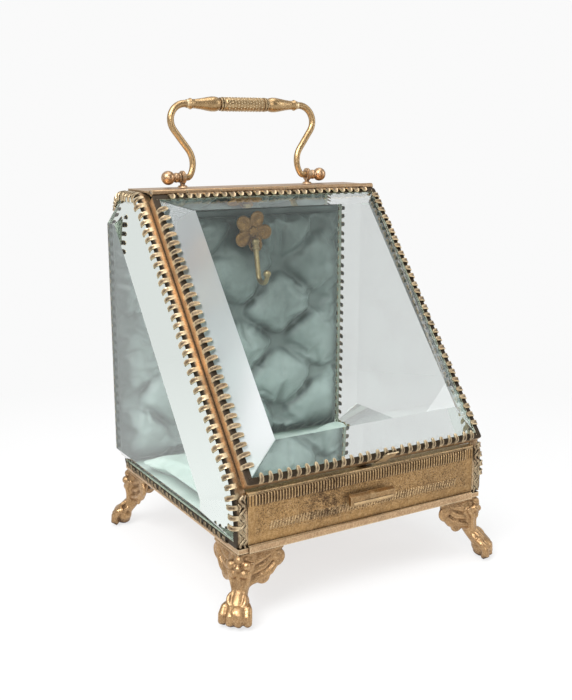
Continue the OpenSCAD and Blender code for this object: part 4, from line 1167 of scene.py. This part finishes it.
foot_x = EYE_X - 1.7
foot_c = Vector((foot_x, AXIS_Z + FOOT_TURN))
low_c = foot_c + (FOOT_TURN - LOWER_BEND) * polar(pi + TOE_LEAN)
leg_a = low_c + LOWER_BEND * polar(pi - LEAN)
leg_b = leg_a + LEG_STRAIGHT * Vector((sin(LEAN), cos(LEAN)))
up_c = leg_b - UPPER_BEND * polar(-LEAN)
grip_z = up_c.y + UPPER_BEND
spine = [Vector((EYE_X + 3.4, AXIS_Z)), Vector((EYE_X + 1.0, AXIS_Z)), Vector((foot_x, AXIS_Z))]
spine += arc(foot_c, FOOT_TURN, radians(270), radians(-90) + TOE_LEAN, range(1, 6))
spine += arc(low_c, LOWER_BEND, pi + TOE_LEAN, -LEAN - TOE_LEAN, range(1, 13))
spine += [leg_a + (leg_b - leg_a) * k / 4 for k in (1, 2, 3)]
spine += arc(up_c, UPPER_BEND, -LEAN, pi / 2 + LEAN, range(13))
spine.append(Vector((up_c.x - 1.4, grip_z)))
thick = [1.15 if at < 5 else 1.05 + 0.22 * (at / (len(spine) - 1)) for at in range(len(spine))]
bail = bmesh.new()
for hand in (-1, 1):
    rod(bail, [(hand * p.x, HANDLE_Y, p.y) for p in spine], thick, 20)
half_grip = [
    (0.0, 0.6 - up_c.x), (1.45, 0.6 - up_c.x), (1.6, 1.4 - up_c.x), (1.95, 2.0 - up_c.x),
    (1.95, -21.0), (1.6, -20.4), (1.65, -19.2), (1.9, -17.2), (2.3, -15.0), (2.6, -13.0),
    (2.6, -11.6), (2.35, -10.5), (1.9, -9.9), (1.85, -9.7), (2.35, -9.55), (2.35, -9.1),
    (1.95, -8.95), (1.95, -8.85), (2.5, -8.7), (2.5, -8.1), (2.2, -7.95), (2.2, -7.8),
    (2.42, -7.5), (2.42, -7.3),
]
grip = half_grip + [(r, -x) for r, x in reversed(half_grip)]
turned_form(bail, grip, Matrix.Translation((0, HANDLE_Y, grip_z)), 48)
# chased beads run round the barrel in close rows
for row in range(BEAD_ROWS):
    x = -6.6 + row * 1.2
    for k in range(BEADS_ROUND):
        a = 2 * pi * (k + 0.5 * (row % 2)) / BEADS_ROUND
        place = Matrix.Translation((x, HANDLE_Y + 2.36 * cos(a), grip_z + 2.36 * sin(a)))
        bmesh.ops.create_icosphere(bail, subdivisions=1, radius=0.26, matrix=place)
face_out(bail)
about_eyes = Matrix.Translation((0, HANDLE_Y, AXIS_Z)) @ Matrix.Rotation(REST_LEAN, 4, "X")
about_eyes = about_eyes @ Matrix.Translation((0, -HANDLE_Y, -AXIS_Z))
move(bail, about_eyes)
fit("bail_rod_and_grip", bail, bail_gilt, "gilt_cast", "bail", "bail_handle", angle=35)
